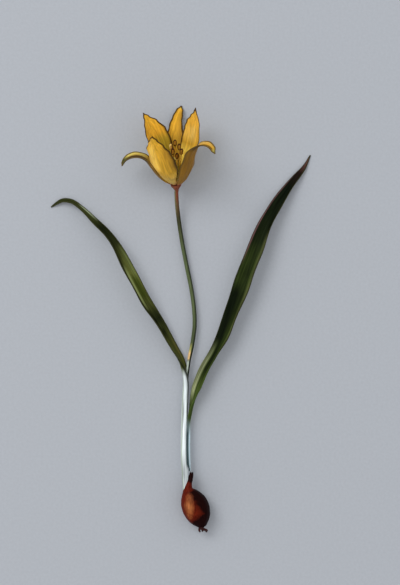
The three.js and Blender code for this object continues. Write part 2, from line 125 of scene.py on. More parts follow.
# A tepal's share of its full width, and its wrap in degrees, at shares along it.
INNER_FORM = [
    (0, 0.2, 90), (0.1, 0.36, 86), (0.25, 0.7, 84), (0.42, 0.95, 84), (0.56, 1, 80),
    (0.7, 0.9, 74), (0.83, 0.6, 70), (0.93, 0.26, 66), (1, 0.03, 60),
]
WIDE_FORM = INNER_FORM[:5] + [
    (0.7, 0.95, 74), (0.8, 0.8, 71), (0.88, 0.5, 68), (0.94, 0.2, 64), (1, 0.03, 60),
]
FRONT_FORM = [
    (0, 0.2, 90), (0.1, 0.4, 104), (0.25, 0.82, 112), (0.42, 1.04, 96), (0.56, 1.02, 90),
    (0.7, 0.9, 82), (0.83, 0.62, 76), (0.93, 0.28, 70), (1, 0.03, 60),
]
OUTER_FORM = [
    (0, 0.3, 50), (0.1, 0.58, 50), (0.25, 0.9, 52), (0.4, 1, 58), (0.55, 0.86, 66),
    (0.7, 0.64, 74), (0.83, 0.5, 78), (0.93, 0.34, 76), (1, 0.08, 60),
]
LEFT_FORM = OUTER_FORM[:4] + [
    (0.55, 0.9, 66), (0.7, 0.74, 74), (0.83, 0.64, 82), (0.93, 0.56, 88), (0.98, 0.44, 90), (1, 0.2, 90),
]
RIGHT_FORM = [(0, 0.3, 50), (0.1, 0.72, 56), (0.25, 1, 58), (0.4, 1, 60)] + OUTER_FORM[4:]
# Each tepal's turn round the axis, its tip's sway round it, how far it is cupped more than its
# form, its width, its form, and its midrib as (radius, height) from the axis.
TEPALS = {
    "inner_front": (-119, 2, 6, 20.4, FRONT_FORM, [
        (2.4, 2.75), (6.3, 6), (11.3, 11.4), (16.2, 19), (20.2, 28.5), (24, 39), (27, 48)]),
    "inner_left": (130, 2.2, 0, 20.6, INNER_FORM, [
        (2.4, 2.75), (5.1, 6.4), (8.5, 11.4), (11.2, 18), (13.4, 26.6), (16.6, 37), (22.4, 47.2)]),
    "inner_right": (28, 1, 0, 21.4, WIDE_FORM, [
        (2.4, 2.75), (5.2, 6.5), (8.8, 12.2), (13.2, 20), (17.4, 29.5), (19.8, 39.5), (20.4, 49.2)]),
    "outer_left": (180, 0, 0, 13, LEFT_FORM, [
        (3.4, 2.65), (7.2, 5.7), (11.4, 10.6), (14.8, 16.6), (17.8, 21.6), (21.4, 24), (25.4, 24.4),
        (29.8, 22.8), (33, 19)]),
    "outer_right": (-42, 2.6, 0, 15.8, RIGHT_FORM, [
        (3.4, 2.65), (7.1, 6.1), (10.8, 12.2), (14.2, 20.4), (17.6, 28.1), (21.8, 33), (26.4, 35.1),
        (30.9, 34.3), (33.6, 29.8)]),
    "outer_back": (87, -6.9, 0, 15, OUTER_FORM, [
        (3.4, 2.65), (7.8, 5.9), (13, 12.2), (17.8, 20.2), (23.2, 28.4), (29.3, 35.4), (35.35, 41)]),
}
TEPAL_THICKNESS = (0.6, 0.34)  # at the midrib and near the margins
TEPAL_STATIONS, TEPAL_COLUMNS = 120, 56
TEPAL_WAVE_LENGTH = 13

# Each stamen's turn round the heart's axis, and its filament tip's radius and height. One anther
# is paler than the rest, as a painted highlight.
HIGHLIGHTED_ANTHER = 5
STAMENS = [
    (-80, 4, 19.2), (-26, 3.9, 21), (42, 3.2, 22.6), (92, 4.2, 24.4), (144, 3.4, 23.2), (-128, 3, 21.4),
]
SEAT_GAP = 0.3  # between a piece and the one that it grows from
STAMEN_RING = 1.28  # radius of the ring on which the filaments stand
FILAMENT_BULGE = [(0, SEAT_GAP), (0.9, 4), (1.6, 11)]  # how far out of the ring, and at what height
FILAMENT_RADIUS = 0.36
HAIR_RADIUS = 0.035
ANTHER_LENGTH = 4.6

OVARY = [  # height, radius
    (0.3, 0.55), (1.4, 0.7), (4.4, 1.35), (8, 1.7), (12, 1.6), (15, 1.15), (16.4, 0.95),
]
STIGMA_FOOT = 16.5
STIGMA_HALF_HEIGHT = 0.85
STIGMA_REACH = (0.62, 2.3)  # between its lobes, and at their middles

# Slices across the bulb: y, middle x, half width, middle z, half depth.
BULB_SLICES = [
    (-12.2, 3.2, 2.2, 7, 2), (-11.2, 2.7, 3.9, 7.2, 3.5), (-9.2, 1.8, 5.7, 7.5, 5.2),
    (-6.5, 1.2, 7.4, 7.7, 6.9), (-3.2, 0.5, 8.6, 7.9, 7.9), (1.3, -0.4, 9, 7.95, 8.3),
    (5, -1.1, 8.4, 8, 7.8), (8, -1.8, 7.2, 8, 6.8), (10.2, -2.8, 5.7, 8, 5.4),
    (11.8, -3.9, 4.3, 8, 4.4), (13, -5, 2.7, 8, 3.6), (15.5, -4.7, 2.1, 8, 3.1),
    (18.6, -3.7, 1.65, 7.8, 2.5), (21, -3.2, 1.5, 7.7, 1.9), (22.9, -2.8, 1.1, 7.7, 1.2),
]
# The neck's end is torn into teeth, which are waves of a height, a count round the neck and a
# phase, from a share of the bulb's length on.
NECK_TEETH = [(0.35, 5, 1), (0.3, 11, 2), (0.2, 23, 0)]
NECK_TORN_FROM = 0.92
NECK_HOLLOW = 1.2  # depth of the hollow inside the teeth
HIGHLIGHT_PLACE = (-4.3, 1.2, 15)  # of the tunic's chestnut spot, a painted highlight, and its reach along x, y and z
HIGHLIGHT_REACH = (3.2, 7.5, 7)
SOCKET_REACHES = (10, 14, 18, 22, 27)  # distances along y at which the shaft's socket is laid
SHEATH_HALF_WALL = 0.45  # half the thickness of a sheath, with its veins
PLATE = {"x": 3.3, "z": 7, "y": (-13.6, -12.5), "radius": (1.5, 2)}
PLATE_OVERLAP = 0.45  # how far the plate reaches into the bulb, from which it grows
ROOT_TAPER = 0.45  # share of its radius that a stub loses towards its end
ROOT_STUBS = [  # the stub's middle line, and its radius at the plate
    ([(2.6, -12.9, 7.6), (2.2, -14.1, 7.9), (2.5, -15.5, 7.4)], 0.95),
    ([(4, -13.4, 7.2), (5.7, -13.95, 7.4), (6.9, -14.4, 7.1), (6.6, -15.5, 6.5)], 1.05),
    ([(3.4, -12.9, 6.2), (3.8, -14.2, 5.2), (4.6, -15.2, 4.6)], 0.6),
    ([(3.2, -12.9, 7.9), (3.9, -14.2, 8.9), (4.1, -15, 9.6)], 0.55),
]

# The stage

FLOOR_HALF = 3000
LAMP = {"size": 1.7, "place": (-1.35, 1.45, 2.2), "aims_at": (0, 0.13, 0)}
# The camera looks straight down from so far, through so long a lens, that the plant shows with
# little perspective, as it does in a painted study.
CAMERA = {"lens": 135, "place": (0.0026, 0.1394, 1.426), "clip_start": 0.01}

# Curves

FINE_SHARES = np.linspace(0, 1, 3000)


def unit(vectors):
    return vectors / np.linalg.norm(vectors, axis=-1, keepdims=True)


def spline(points, shares):
    """Places at shares of the smooth centripetal curve through points."""
    points = np.array(points, float)
    held = np.vstack([2 * points[0] - points[1], points, 2 * points[-1] - points[-2]])
    steps = np.sqrt(np.linalg.norm(np.diff(held, axis=0), axis=1))
    place = np.clip(shares, 0, 1) * (len(points) - 1)
    span = np.minimum(place.astype(int), len(points) - 2)
    s = (place - span)[:, None]
    before, start, end, after = (held[span + k] for k in range(4))
    middle = np.where(steps[span + 1] < 1e-4, 1, steps[span + 1])[:, None]
    first = np.where(steps[span, None] < 1e-4, middle, steps[span, None])
    last = np.where(steps[span + 2, None] < 1e-4, middle, steps[span + 2, None])
    leave = (start - before) / first - (end - before) / (first + middle) + (end - start) / middle
    arrive = (end - start) / middle - (after - start) / (middle + last) + (after - end) / last
    leave, arrive = leave * middle, arrive * middle
    return (
        start
        + leave * s
        + (3 * (end - start) - 2 * leave - arrive) * s**2
        + (2 * (start - end) + leave + arrive) * s**3
    )


def along_length(points):
    steps = np.linalg.norm(np.diff(points, axis=0), axis=1)
    return np.concatenate([[0], np.cumsum(steps)])


def even_shares(points, count):
    """Shares of the curve through points that divide its length evenly."""
    length = along_length(spline(points, FINE_SHARES))
    return np.interp(np.linspace(0, length[-1], count), length, FINE_SHARES)


def direction(points, shares):
    small = 1e-4
    return unit(spline(points, shares + small) - spline(points, shares - small))


def eased(pairs, shares):
    """A value that changes smoothly through (share, value) pairs, level at each pair."""
    places, values = np.array(pairs, float).T
    span = np.clip(np.searchsorted(places, shares) - 1, 0, len(places) - 2)
    s = np.clip((shares - places[span]) / (places[span + 1] - places[span]), 0, 1)
    return values[span] + (values[span + 1] - values[span]) * s * s * (3 - 2 * s)


def moved(matrix, points):
    """Points in millimetres of a matrix's own frame, in the plant's frame."""
    turn = np.array(matrix)
    return points @ turn[:3, :3].T + turn[:3, 3]


def upright(heights):
    """Places at heights on the axis of a frame."""
    return np.column_stack([heights * 0, heights * 0, heights])


def stem_at(y):
    """The place on the stem's middle line at a distance y from the origin."""
    share = np.interp(y, spline(STEM_LINE, FINE_SHARES)[:, 1], FINE_SHARES)
    return spline(STEM_LINE, np.array([share]))[0]


def turns(sides):
    """Angles that divide a full turn evenly."""
    return np.linspace(0, 2 * math.pi, sides, endpoint=False)


def outward(turn):
    """The direction out from an upright axis at a turn in degrees."""
    angle = math.radians(turn)
    return np.array((math.cos(angle), math.sin(angle), 0))


def domed(stations):
    """Places from -1 to 1 that crowd towards both ends, as on a rounded body."""
    return np.sin(np.linspace(-math.pi / 2, math.pi / 2, stations))


FLOWER_FRAME = (
    Matrix.Translation(STEM_LINE[-1])
    @ Matrix.Rotation(math.radians(FLOWER_LEAN), 4, "Z")
    @ Matrix.Rotation(math.radians(FLOWER_RISE - 90), 4, "X")
)
HEART_FRAME = (
    FLOWER_FRAME
    @ Matrix.Translation((0, 0, RECEPTACLE_TOP + 0.1))
    @ Matrix.Rotation(math.radians(HEART_LEAN), 4, "Y")
)

# Meshes


def placed(name, data, place=(0, 0, 0)):
    """A new object in the scene."""
    piece = bpy.data.objects.new(name, data)
    piece.location = place
    bpy.context.scene.collection.objects.link(piece)
    return piece


def mesh_piece(name, corners, faces, finish=None, attributes=None, edges=()):
    """An object at the origin whose mesh has corners in millimetres and named point attributes."""
    mesh = bpy.data.meshes.new(name)
    mesh.from_pydata((np.asarray(corners) * MM).tolist(), edges, faces)
    for key, values in (attributes or {}).items():
        values = np.asarray(values, np.float32)
        vector = values.ndim == 2
        layer = mesh.attributes.new(key, "FLOAT_VECTOR" if vector else "FLOAT", "POINT")
        layer.data.foreach_set("vector" if vector else "value", values.ravel())
    if finish:
        mesh.materials.append(finish)
    mesh.shade_smooth()
    return placed(name, mesh)


def loft(rings):
    """Corners and faces of a closed body through rings, counter-clockwise seen from its far end."""
    rings = np.asarray(rings, float)
    count, sides = rings.shape[:2]
    grid = np.arange(count * sides).reshape(count, sides)
    beside = np.roll(grid, -1, axis=1)
    walls = np.stack([grid[:-1], beside[:-1], beside[1:], grid[1:]], axis=-1).reshape(-1, 4)
    foot, head = count * sides, count * sides + 1
    caps = [(foot, beside[0, j], grid[0, j]) for j in range(sides)]
    caps += [(head, grid[-1, j], beside[-1, j]) for j in range(sides)]
    corners = np.vstack([rings.reshape(-1, 3), rings[0].mean(axis=0), rings[-1].mean(axis=0)])
    return corners, walls.tolist() + caps


def ring_grid(middles, right, away, reaches):
    """Rings of corners at reaches, one row of them for each middle, from right towards away."""
    right, away = (np.broadcast_to(side, middles.shape)[:, None] for side in (right, away))
    angles = turns(reaches.shape[1])
    across = (reaches * np.cos(angles))[..., None] * right
    up = (reaches * np.sin(angles))[..., None] * away
    return middles[:, None] + across + up


def ring_values(values, sides, ends=(0, 1)):
    """One value for each corner of a loft, from one for each ring and one for each end."""
    return np.concatenate([np.repeat(values, sides), ends])


MARGIN_ROUND = 0.1  # share of a blade's half width over which its margin is rounded off


def blade_piece(name, stations, thickness, columns, place=None, wave=None):
    """A thin blade with rounded margins. Stations hold the midrib, its direction along, the
    direction inward to the middle of the cross-section's arc, the width and the arc's angle."""
    midrib, along, inward, width, wrap = stations
    even = np.linspace(-1, 1, columns + 1)
    spread = 0.6 * even + 0.4 * np.sin(even * math.pi / 2)
    angle = wrap[:, None] * spread / 2
    reach = (width / wrap)[:, None]
    side = unit(np.cross(along, inward))
    sine, cosine = np.sin(angle)[..., None], np.cos(angle)[..., None]
    outward = sine * side[:, None] - cosine * inward[:, None]
    middle = (
        midrib[:, None]
        + reach[..., None] * (1 - cosine) * inward[:, None]
        + reach[..., None] * sine * side[:, None]
    )
    length = along_length(midrib)
    share = length / length[-1]
    if wave is not None:
        middle = middle + outward * wave(share[:, None], spread[None, :], length[:, None])[..., None]
    edge = np.clip((np.abs(spread) - (1 - MARGIN_ROUND)) / MARGIN_ROUND, 0, 1)
    thick, rim = thickness
    half = (thick + (rim - thick) * spread**2) / 2 * np.sqrt(1 - edge**2)
    outer_side = middle + outward * half[:, None]
    inner_side = (middle - outward * half[:, None])[:, 1:-1]

    count = len(midrib)
    outer = np.arange(count * (columns + 1)).reshape(count, -1)
    inner = outer.copy()
    inner[:, 1:-1] = outer.size + np.arange(count * (columns - 1)).reshape(count, -1)
    faces = np.concatenate([
        np.stack([outer[:-1, :-1], outer[1:, :-1], outer[1:, 1:], outer[:-1, 1:]], -1).reshape(-1, 4),
        np.stack([inner[:-1, :-1], inner[:-1, 1:], inner[1:, 1:], inner[1:, :-1]], -1).reshape(-1, 4),
    ]).tolist()
    for row, order in ((0, (0, 1)), (-1, (1, 0))):
        for k in range(columns):
            p, q = k + order[0], k + order[1]
            corners = [outer[row, p], outer[row, q], inner[row, q], inner[row, p]]
            faces.append([int(corner) for corner in dict.fromkeys(corners)])

    def both(values):
        return np.concatenate([values.ravel(), values[:, 1:-1].ravel()])

    corners = np.concatenate([outer_side.reshape(-1, 3), inner_side.reshape(-1, 3)])
    if place is not None:
        corners = moved(place, corners)
    corners[:, 2] = np.maximum(corners[:, 2], 0)
    outside = np.ones_like(angle)
    outside[:, [0, -1]] = 0
    attributes = {
        "along": both(np.broadcast_to(share[:, None], angle.shape)),
        "across": both(np.broadcast_to(spread, angle.shape)),
        "outside": np.concatenate([outside.ravel(), -np.ones(inner_side[..., 0].size)]),
        "skin": np.stack([
            both(width[:, None] * spread / 2),
            both(np.broadcast_to(length[:, None], angle.shape)),
            both(width[:, None] * (1 - np.abs(spread)) / 2),
        ], axis=-1),
    }
    return mesh_piece(name, corners, faces, attributes=attributes)


def path_piece(name, lines, radii):
    """Chains of edges along lines, each with its radius in millimetres at its corners."""
    corners, edges, shares = [], [], []
    for line in lines:
        edges += [(i, i + 1) for i in range(len(corners), len(corners) + len(line) - 1)]
        corners += list(line)
        length = along_length(line)
        shares.append(length / length[-1])
    attributes = {"radius": np.concatenate(radii) * MM, "along": np.concatenate(shares)}
    return mesh_piece(name, corners, [], attributes=attributes, edges=edges)


# Node trees


def add(tree, kind, inputs=None, stops=None, **settings):
    """Adds a node with its settings, a ramp's (share, colour) stops, and its inputs by name or
    number, each a value or the node or socket that feeds it."""
    node = tree.nodes.new(kind)
    for setting, value in settings.items():
        setattr(node, setting, value)
    if stops:
        elements = node.color_ramp.elements
        while len(elements) < len(stops):
            elements.new(1)
        for element, (share, colour) in zip(elements, stops):
            element.position = share
            element.color = colour
    open_inputs = [socket for socket in node.inputs if not socket.is_unavailable]
    for key, value in (inputs or {}).items():
        named = (socket for socket in open_inputs if socket.name == key)
        target = open_inputs[key] if isinstance(key, int) else next(named)
        if isinstance(value, bpy.types.Node):
            value = next(socket for socket in value.outputs if not socket.is_unavailable)
        if isinstance(value, bpy.types.NodeSocket):
            tree.links.new(value, target)
        else:
            target.default_value = value
    return node


SOCKET_KINDS = {
    float: "NodeSocketFloat",
    int: "NodeSocketInt",
    type(None): "NodeSocketMaterial",
}


def geometry_tree(name, sizes):
    """A new tree with its named inputs, and the sockets that they and the geometry come from."""
    tree = bpy.data.node_groups.new(name, "GeometryNodeTree")
    for way in ("INPUT", "OUTPUT"):
        tree.interface.new_socket("Geometry", in_out=way, socket_type="NodeSocketGeometry")
    for label, default in sizes.items():
        socket = tree.interface.new_socket(label, in_out="INPUT", socket_type=SOCKET_KINDS[type(default)])
        if default is not None:
            socket.default_value = default
    return tree, tree.nodes.new("NodeGroupInput").outputs


def give_back(tree, geometry, material):
    """Ends a tree with plain geometry in a material."""
    real = add(tree, "GeometryNodeRealizeInstances", {"Geometry": geometry})
    done = add(tree, "GeometryNodeSetMaterial", {"Geometry": real, "Material": material})
    add(tree, "NodeGroupOutput", {"Geometry": done})


def make_plain(piece, modifier):
    """Gives a piece the mesh that its modifier makes of it, and removes the modifier."""
    result = piece.evaluated_get(bpy.context.evaluated_depsgraph_get())
    made = bpy.data.meshes.new_from_object(result)
    piece.modifiers.remove(modifier)
    made.name = piece.name
    piece.data = made


def run_tree(piece, tree, sizes):
    """Gives a piece the mesh that a tree makes of it."""
    modifier = piece.modifiers.new(tree.name, "NODES")
    modifier.node_group = tree
    for item in tree.interface.items_tree:
        if item.name in sizes:
            modifier[item.identifier] = sizes[item.name]
    make_plain(piece, modifier)


def vein_tree():
    """Raises parallel veins from a skin, and sinks its midrib inside and raises it outside."""
    tree, given = geometry_tree("parallel_veins", {
        "Vein Count": 12.0,
        "Vein Height": 0.05 * MM,
        "Midrib Height": 0.1 * MM,
        "Midrib Share": 0.08,
        "Unevenness": 0.5,
        "Finish": None,
    })
    along, across, outside = (
        add(tree, "GeometryNodeInputNamedAttribute", {"Name": name})
        for name in ("along", "across", "outside")
    )
    place = add(tree, "GeometryNodeInputPosition")
    drift = add(tree, "ShaderNodeTexNoise", {"Vector": place, "Scale": 1 / (9 * MM), "Detail": 2.0})
    turn = add(tree, "ShaderNodeMath", {0: across, 1: given["Vein Count"]}, operation="MULTIPLY")
    phase = add(tree, "ShaderNodeMath", {0: turn, 1: math.pi}, operation="MULTIPLY")
    wave = add(tree, "ShaderNodeMath", {0: phase}, operation="COSINE")
    swell = add(tree, "ShaderNodeMapRange", {"Value": wave, "From Min": -1.0, "From Max": 1.0})
    crest = add(tree, "ShaderNodeMath", {0: swell, 1: 2.0}, operation="POWER")
    uneven = add(tree, "ShaderNodeMath", {0: drift, 1: given["Unevenness"]}, operation="MULTIPLY")
    share = add(tree, "ShaderNodeMath", {0: 1.0, 1: uneven}, operation="SUBTRACT")
    vein = add(tree, "ShaderNodeMath", {0: crest, 1: share}, operation="MULTIPLY")
    rim = add(tree, "ShaderNodeMath", {0: across}, operation="ABSOLUTE")
    fade = add(tree, "ShaderNodeMapRange", {
        "Value": rim, "From Min": 0.8, "From Max": 1.0, "To Min": 1.0, "To Max": 0.0,
    })
    raised = add(tree, "ShaderNodeMath", {0: vein, 1: fade}, operation="MULTIPLY")
    height = add(tree, "ShaderNodeMath", {0: raised, 1: given["Vein Height"]}, operation="MULTIPLY")
    near = add(tree, "ShaderNodeMath", {0: across, 1: given["Midrib Share"]}, operation="DIVIDE")
    square = add(tree, "ShaderNodeMath", {0: near, 1: near}, operation="MULTIPLY")
    fall = add(tree, "ShaderNodeMath", {0: square, 1: -1.0}, operation="MULTIPLY")
    keel = add(tree, "ShaderNodeMath", {0: fall}, operation="EXPONENT")
    tall = add(tree, "ShaderNodeMath", {0: keel, 1: given["Midrib Height"]}, operation="MULTIPLY")
    sided = add(tree, "ShaderNodeMath", {0: tall, 1: outside}, operation="MULTIPLY")
    total = add(tree, "ShaderNodeMath", {0: height, 1: sided}, operation="ADD")
    tip = add(tree, "ShaderNodeMapRange", {
        "Value": along, "From Min": 0.8, "From Max": 1.0, "To Min": 1.0, "To Max": 0.0,
    })
    lift = add(tree, "ShaderNodeMath", {0: total, 1: tip}, operation="MULTIPLY")
    normal = add(tree, "GeometryNodeInputNormal")
    offset = add(tree, "ShaderNodeVectorMath", {"Vector": normal, "Scale": lift}, operation="SCALE")
    raised_skin = add(tree, "GeometryNodeSetPosition", {"Geometry": given["Geometry"], "Offset": offset})
    high = add(tree, "ShaderNodeVectorMath", {0: place, 1: (-1.0, -1.0, 0.0)}, operation="MAXIMUM")
    on_floor = add(tree, "GeometryNodeSetPosition", {"Geometry": raised_skin, "Position": high})
    give_back(tree, on_floor, given["Finish"])
    return tree


def rod_tree():
    """Makes round rods along chains of edges, with a skin that is a little uneven."""
    tree, given = geometry_tree("rods_along_paths", {
        "Sides": 16,
        "Bump Height": 0.03 * MM,
        "Bump Size": 1.5 * MM,
        "Finish": None,
    })
    radius = add(tree, "GeometryNodeInputNamedAttribute", {"Name": "radius"})
    path = add(tree, "GeometryNodeMeshToCurve", {"Mesh": given["Geometry"]})
    profile = add(tree, "GeometryNodeCurvePrimitiveCircle", {"Resolution": given["Sides"], "Radius": 1.0})
    rod = add(tree, "GeometryNodeCurveToMesh", {
        "Curve": path, "Profile Curve": profile, "Scale": radius, "Fill Caps": True,
    })
    place = add(tree, "GeometryNodeInputPosition")
    scale = add(tree, "ShaderNodeMath", {0: 1.0, 1: given["Bump Size"]}, operation="DIVIDE")
    noise = add(tree, "ShaderNodeTexNoise", {"Vector": place, "Scale": scale, "Detail": 3.0})
    level = add(tree, "ShaderNodeMath", {0: noise, 1: 0.5}, operation="SUBTRACT")
    height = add(tree, "ShaderNodeMath", {0: level, 1: given["Bump Height"]}, operation="MULTIPLY")
    normal = add(tree, "GeometryNodeInputNormal")
    offset = add(tree, "ShaderNodeVectorMath", {"Vector": normal, "Scale": height}, operation="SCALE")
    skin = add(tree, "GeometryNodeSetPosition", {"Geometry": rod, "Offset": offset})
    # The normal's x is stored as the flank, on which the stalk's material lays painted shade on its right
    # side.
    facing = add(tree, "ShaderNodeSeparateXYZ", {0: normal})
    flanked = add(tree, "GeometryNodeStoreNamedAttribute", {
        "Geometry": skin, "Name": "flank", "Value": facing,
    })
    smooth = add(tree, "GeometryNodeSetShadeSmooth", {"Geometry": flanked, "Shade Smooth": True})
    give_back(tree, smooth, given["Finish"])
    return tree


def grain_tree():
    """Strews slender or round grains over a skin, rooted in it, where it lies between two shares."""
    tree, given = geometry_tree("grains_on_skin", {
        "Grains per Square Millimetre": 20.0,
        "Grain Radius": 0.06 * MM,
        "Slenderness": 1.0,
        "Tilt": 0.3,
        "Lowest Share": 0.0,
        "Highest Share": 1.0,
        "Seed": 1,
        "Finish": None,
    })
    along = add(tree, "GeometryNodeInputNamedAttribute", {"Name": "along"})
    above = add(tree, "FunctionNodeCompare", {0: along, 1: given["Lowest Share"]}, operation="GREATER_EQUAL")
    below = add(tree, "FunctionNodeCompare", {0: along, 1: given["Highest Share"]}, operation="LESS_EQUAL")
    between = add(tree, "FunctionNodeBooleanMath", {0: above, 1: below}, operation="AND")
    density = add(tree, "ShaderNodeMath", {
        0: given["Grains per Square Millimetre"], 1: 1 / MM**2,
    }, operation="MULTIPLY")
    strewn = add(tree, "GeometryNodeDistributePointsOnFaces", {
        "Mesh": given["Geometry"], "Selection": between, "Density": density, "Seed": given["Seed"],
    })
    grain = add(tree, "GeometryNodeMeshIcoSphere", {"Radius": 1.0, "Subdivisions": 1})
    rooted = add(tree, "GeometryNodeSetPosition", {"Geometry": grain, "Offset": (0, 0, 0.7)})
    spread = add(tree, "FunctionNodeRandomValue", {"Min": 0.7, "Max": 1.3, "Seed": given["Seed"]})
    radius = add(tree, "ShaderNodeMath", {0: spread, 1: given["Grain Radius"]}, operation="MULTIPLY")
    height = add(tree, "ShaderNodeMath", {0: radius, 1: given["Slenderness"]}, operation="MULTIPLY")
    scale = add(tree, "ShaderNodeCombineXYZ", {"X": radius, "Y": radius, "Z": height})
    low = add(tree, "ShaderNodeMath", {0: given["Tilt"], 1: -1.0}, operation="MULTIPLY")
    lows = add(tree, "ShaderNodeCombineXYZ", {"X": low, "Y": low, "Z": low})
    highs = add(tree, "ShaderNodeCombineXYZ", {"X": given["Tilt"], "Y": given["Tilt"], "Z": given["Tilt"]})
    tilt = add(tree, "FunctionNodeRandomValue", {
        "Min": lows, "Max": highs, "Seed": given["Seed"],
    }, data_type="FLOAT_VECTOR")
    turned = add(tree, "FunctionNodeRotateRotation", {
        "Rotation": strewn.outputs["Rotation"], "Rotate By": tilt,
    }, rotation_space="LOCAL")
    grains = add(tree, "GeometryNodeInstanceOnPoints", {
        "Points": strewn, "Instance": rooted, "Rotation": turned, "Scale": scale,
    })
    real = add(tree, "GeometryNodeRealizeInstances", {"Geometry": grains})
    smooth = add(tree, "GeometryNodeSetShadeSmooth", {"Geometry": real, "Shade Smooth": True})
    done = add(tree, "GeometryNodeSetMaterial", {"Geometry": smooth, "Material": given["Finish"]})
    whole = add(tree, "GeometryNodeJoinGeometry")
    for part in (done.outputs["Geometry"], given["Geometry"]):
        tree.links.new(part, whole.inputs["Geometry"])
    add(tree, "NodeGroupOutput", {"Geometry": whole})
    return tree


# Materials


def linear(colour):
    """The linear colour, with full alpha, of an sRGB hex value."""
    channels = [int(colour[k : k + 2], 16) / 255 for k in (1, 3, 5)]
    low = [c / 12.92 if c <= 0.04045 else ((c + 0.055) / 1.055) ** 2.4 for c in channels]
    return (*low, 1.0)


def finish(name, **shader_values):
    """A new material's node tree with its shader, whose plain values are set on its own sockets."""
    made = bpy.data.materials.new(name)
    made.use_nodes = True
    tree = made.node_tree
    shader = tree.nodes["Principled BSDF"]
    for label, value in shader_values.items():
        shader.inputs[label.replace("_", " ")].default_value = value
    return made, tree, shader


def tones_of(settings, *names):
    return [tuple(getattr(settings, name)) for name in names]


def blend(first, second, share):
    return tuple(a + (b - a) * share for a, b in zip(first, second))


def run_between(first, second, pairs):
    """Ramp stops that run between two colours, from (place, share of the second) pairs."""
    return [(place, blend(first, second, share)) for place, share in pairs]


def plateau(rise, full, fade, end, strength=1):
    """The (place, strength) pairs of a patch that is at its full strength between two places."""
    return [(rise, 0), (full, strength), (fade, strength), (end, 0)]


def patched(tree, colour, along, across, patches):
    """Lays patches over a colour. Each is a colour or its hex value, with (place, strength) pairs
    for its strength along the piece, and across it from the left side to the right one."""
    for tone, lengthwise, crosswise in patches:
        tone = linear(tone) if isinstance(tone, str) else tone
        strengths = [
            add(tree, "ShaderNodeValToRGB", {"Fac": fac}, stops=[(at, (v, v, v, 1)) for at, v in pairs])
            for fac, pairs in ((along, lengthwise), (across, crosswise))
        ]
        share = add(tree, "ShaderNodeMath", dict(enumerate(strengths)), operation="MULTIPLY")
        colour = add(tree, "ShaderNodeMix", {"Factor": share, "A": colour, "B": tone}, data_type="RGBA")
    return colour


def blade_places(tree):
    """Sockets for a blade's share along it and across it, its face, and its skin in millimetres."""
    along, across, outside, skin = (
        add(tree, "ShaderNodeAttribute", attribute_name=key).outputs[output]
        for key, output in (("along", "Fac"), ("across", "Fac"), ("outside", "Fac"), ("skin", "Vector"))
    )
    place = add(tree, "ShaderNodeMapRange", {"Value": across, "From Min": -1.0, "From Max": 1.0})
    return along, place, outside, skin


def shaded(tree, colour, pattern, least, most):
    """Multiplies a colour by a pattern, between a least and a most."""
    shade = add(tree, "ShaderNodeMapRange", {
        "Value": pattern, "From Min": 0.3, "From Max": 0.7, "To Min": least, "To Max": most,
    })
    return add(tree, "ShaderNodeMix", {"Factor": 1.0, "A": colour, "B": shade},
               data_type="RGBA", blend_type="MULTIPLY")


def streaked(tree, colour, where, spacing, length, least, most):
    """Varies a colour in streaks, and returns it with the streaks' own pattern."""
    drawn = add(tree, "ShaderNodeVectorMath", {
        0: where, 1: (1 / spacing, 1 / length, 1 / spacing),
    }, operation="MULTIPLY")
    pattern = add(tree, "ShaderNodeTexNoise", {"Vector": drawn, "Scale": 1.0, "Detail": 4.0})
    return shaded(tree, colour, pattern, least, most), pattern


def surfaced(tree, shader, colour, pattern, strength, depth):
    """Gives a shader its colour and a fine relief."""
    relief = add(tree, "ShaderNodeBump", {"Strength": strength, "Distance": depth * MM, "Height": pattern})
    shown = next(socket for socket in colour.outputs if not socket.is_unavailable)
    tree.links.new(shown, shader.inputs["Base Color"])
    tree.links.new(relief.outputs[0], shader.inputs["Normal"])


# Fresh leaf under a matt bloom of wax. The eye gets a dull, deep green with fine lengthwise
# streaks, white where the leaf grew below the ground, and a thin margin of its own tone. Its tones
# and patches also hold painted light: near-black stretches and strips of painted shade, and some
# pale strips of painted highlight.
def waxy_leaf(name, tones, patches, margin, margin_width):
    made, tree, shader = finish(name, Roughness=0.5, Specular_IOR_Level=0.02, IOR=1.45)
    along, across, outside, skin = blade_places(tree)
    tone = add(tree, "ShaderNodeValToRGB", {"Fac": along}, stops=tones)
    painted = patched(tree, tone, along, across, patches)
    # Broad clouds of deeper and paler green, 3.5 mm wide and 18 mm long.
    clouded, _ = streaked(tree, painted, skin, 3.5, 18, 0.72, 1.3)
    # Streaks 0.9 mm apart and 26 mm long; the rows of cells that they stand for are finer.
    streaks, pattern = streaked(tree, clouded, skin, 0.9, 26, 0.55, 1.5)
    from_margin = add(tree, "ShaderNodeSeparateXYZ", {0: skin}).outputs["Z"]
    edge = add(tree, "ShaderNodeMapRange", {
        "Value": from_margin, "From Min": margin_width, "From Max": 0.4 * margin_width,
    })
    green = add(tree, "ShaderNodeMapRange", {"Value": along, "From Min": 0.3, "From Max": 0.4})
    green_edge = add(tree, "ShaderNodeMath", {0: edge, 1: green}, operation="MULTIPLY")
    edged = add(tree, "ShaderNodeMix", {"Factor": green_edge, "A": streaks, "B": margin}, data_type="RGBA")
    # The outer face keeps more of its wax, so it is a little bluer and paler.
    waxed = add(tree, "ShaderNodeMix", {"Factor": 1.0, "A": edged, "B": (1.1, 1.15, 1.25, 1)},
                data_type="RGBA", blend_type="MULTIPLY")
    back = add(tree, "ShaderNodeMapRange", {"Value": outside, "From Min": 0.0, "From Max": 1.0})
    colour = add(tree, "ShaderNodeMix", {"Factor": back, "A": edged, "B": waxed}, data_type="RGBA")
    surfaced(tree, shader, colour, pattern, 0.35, 0.1)
    return made


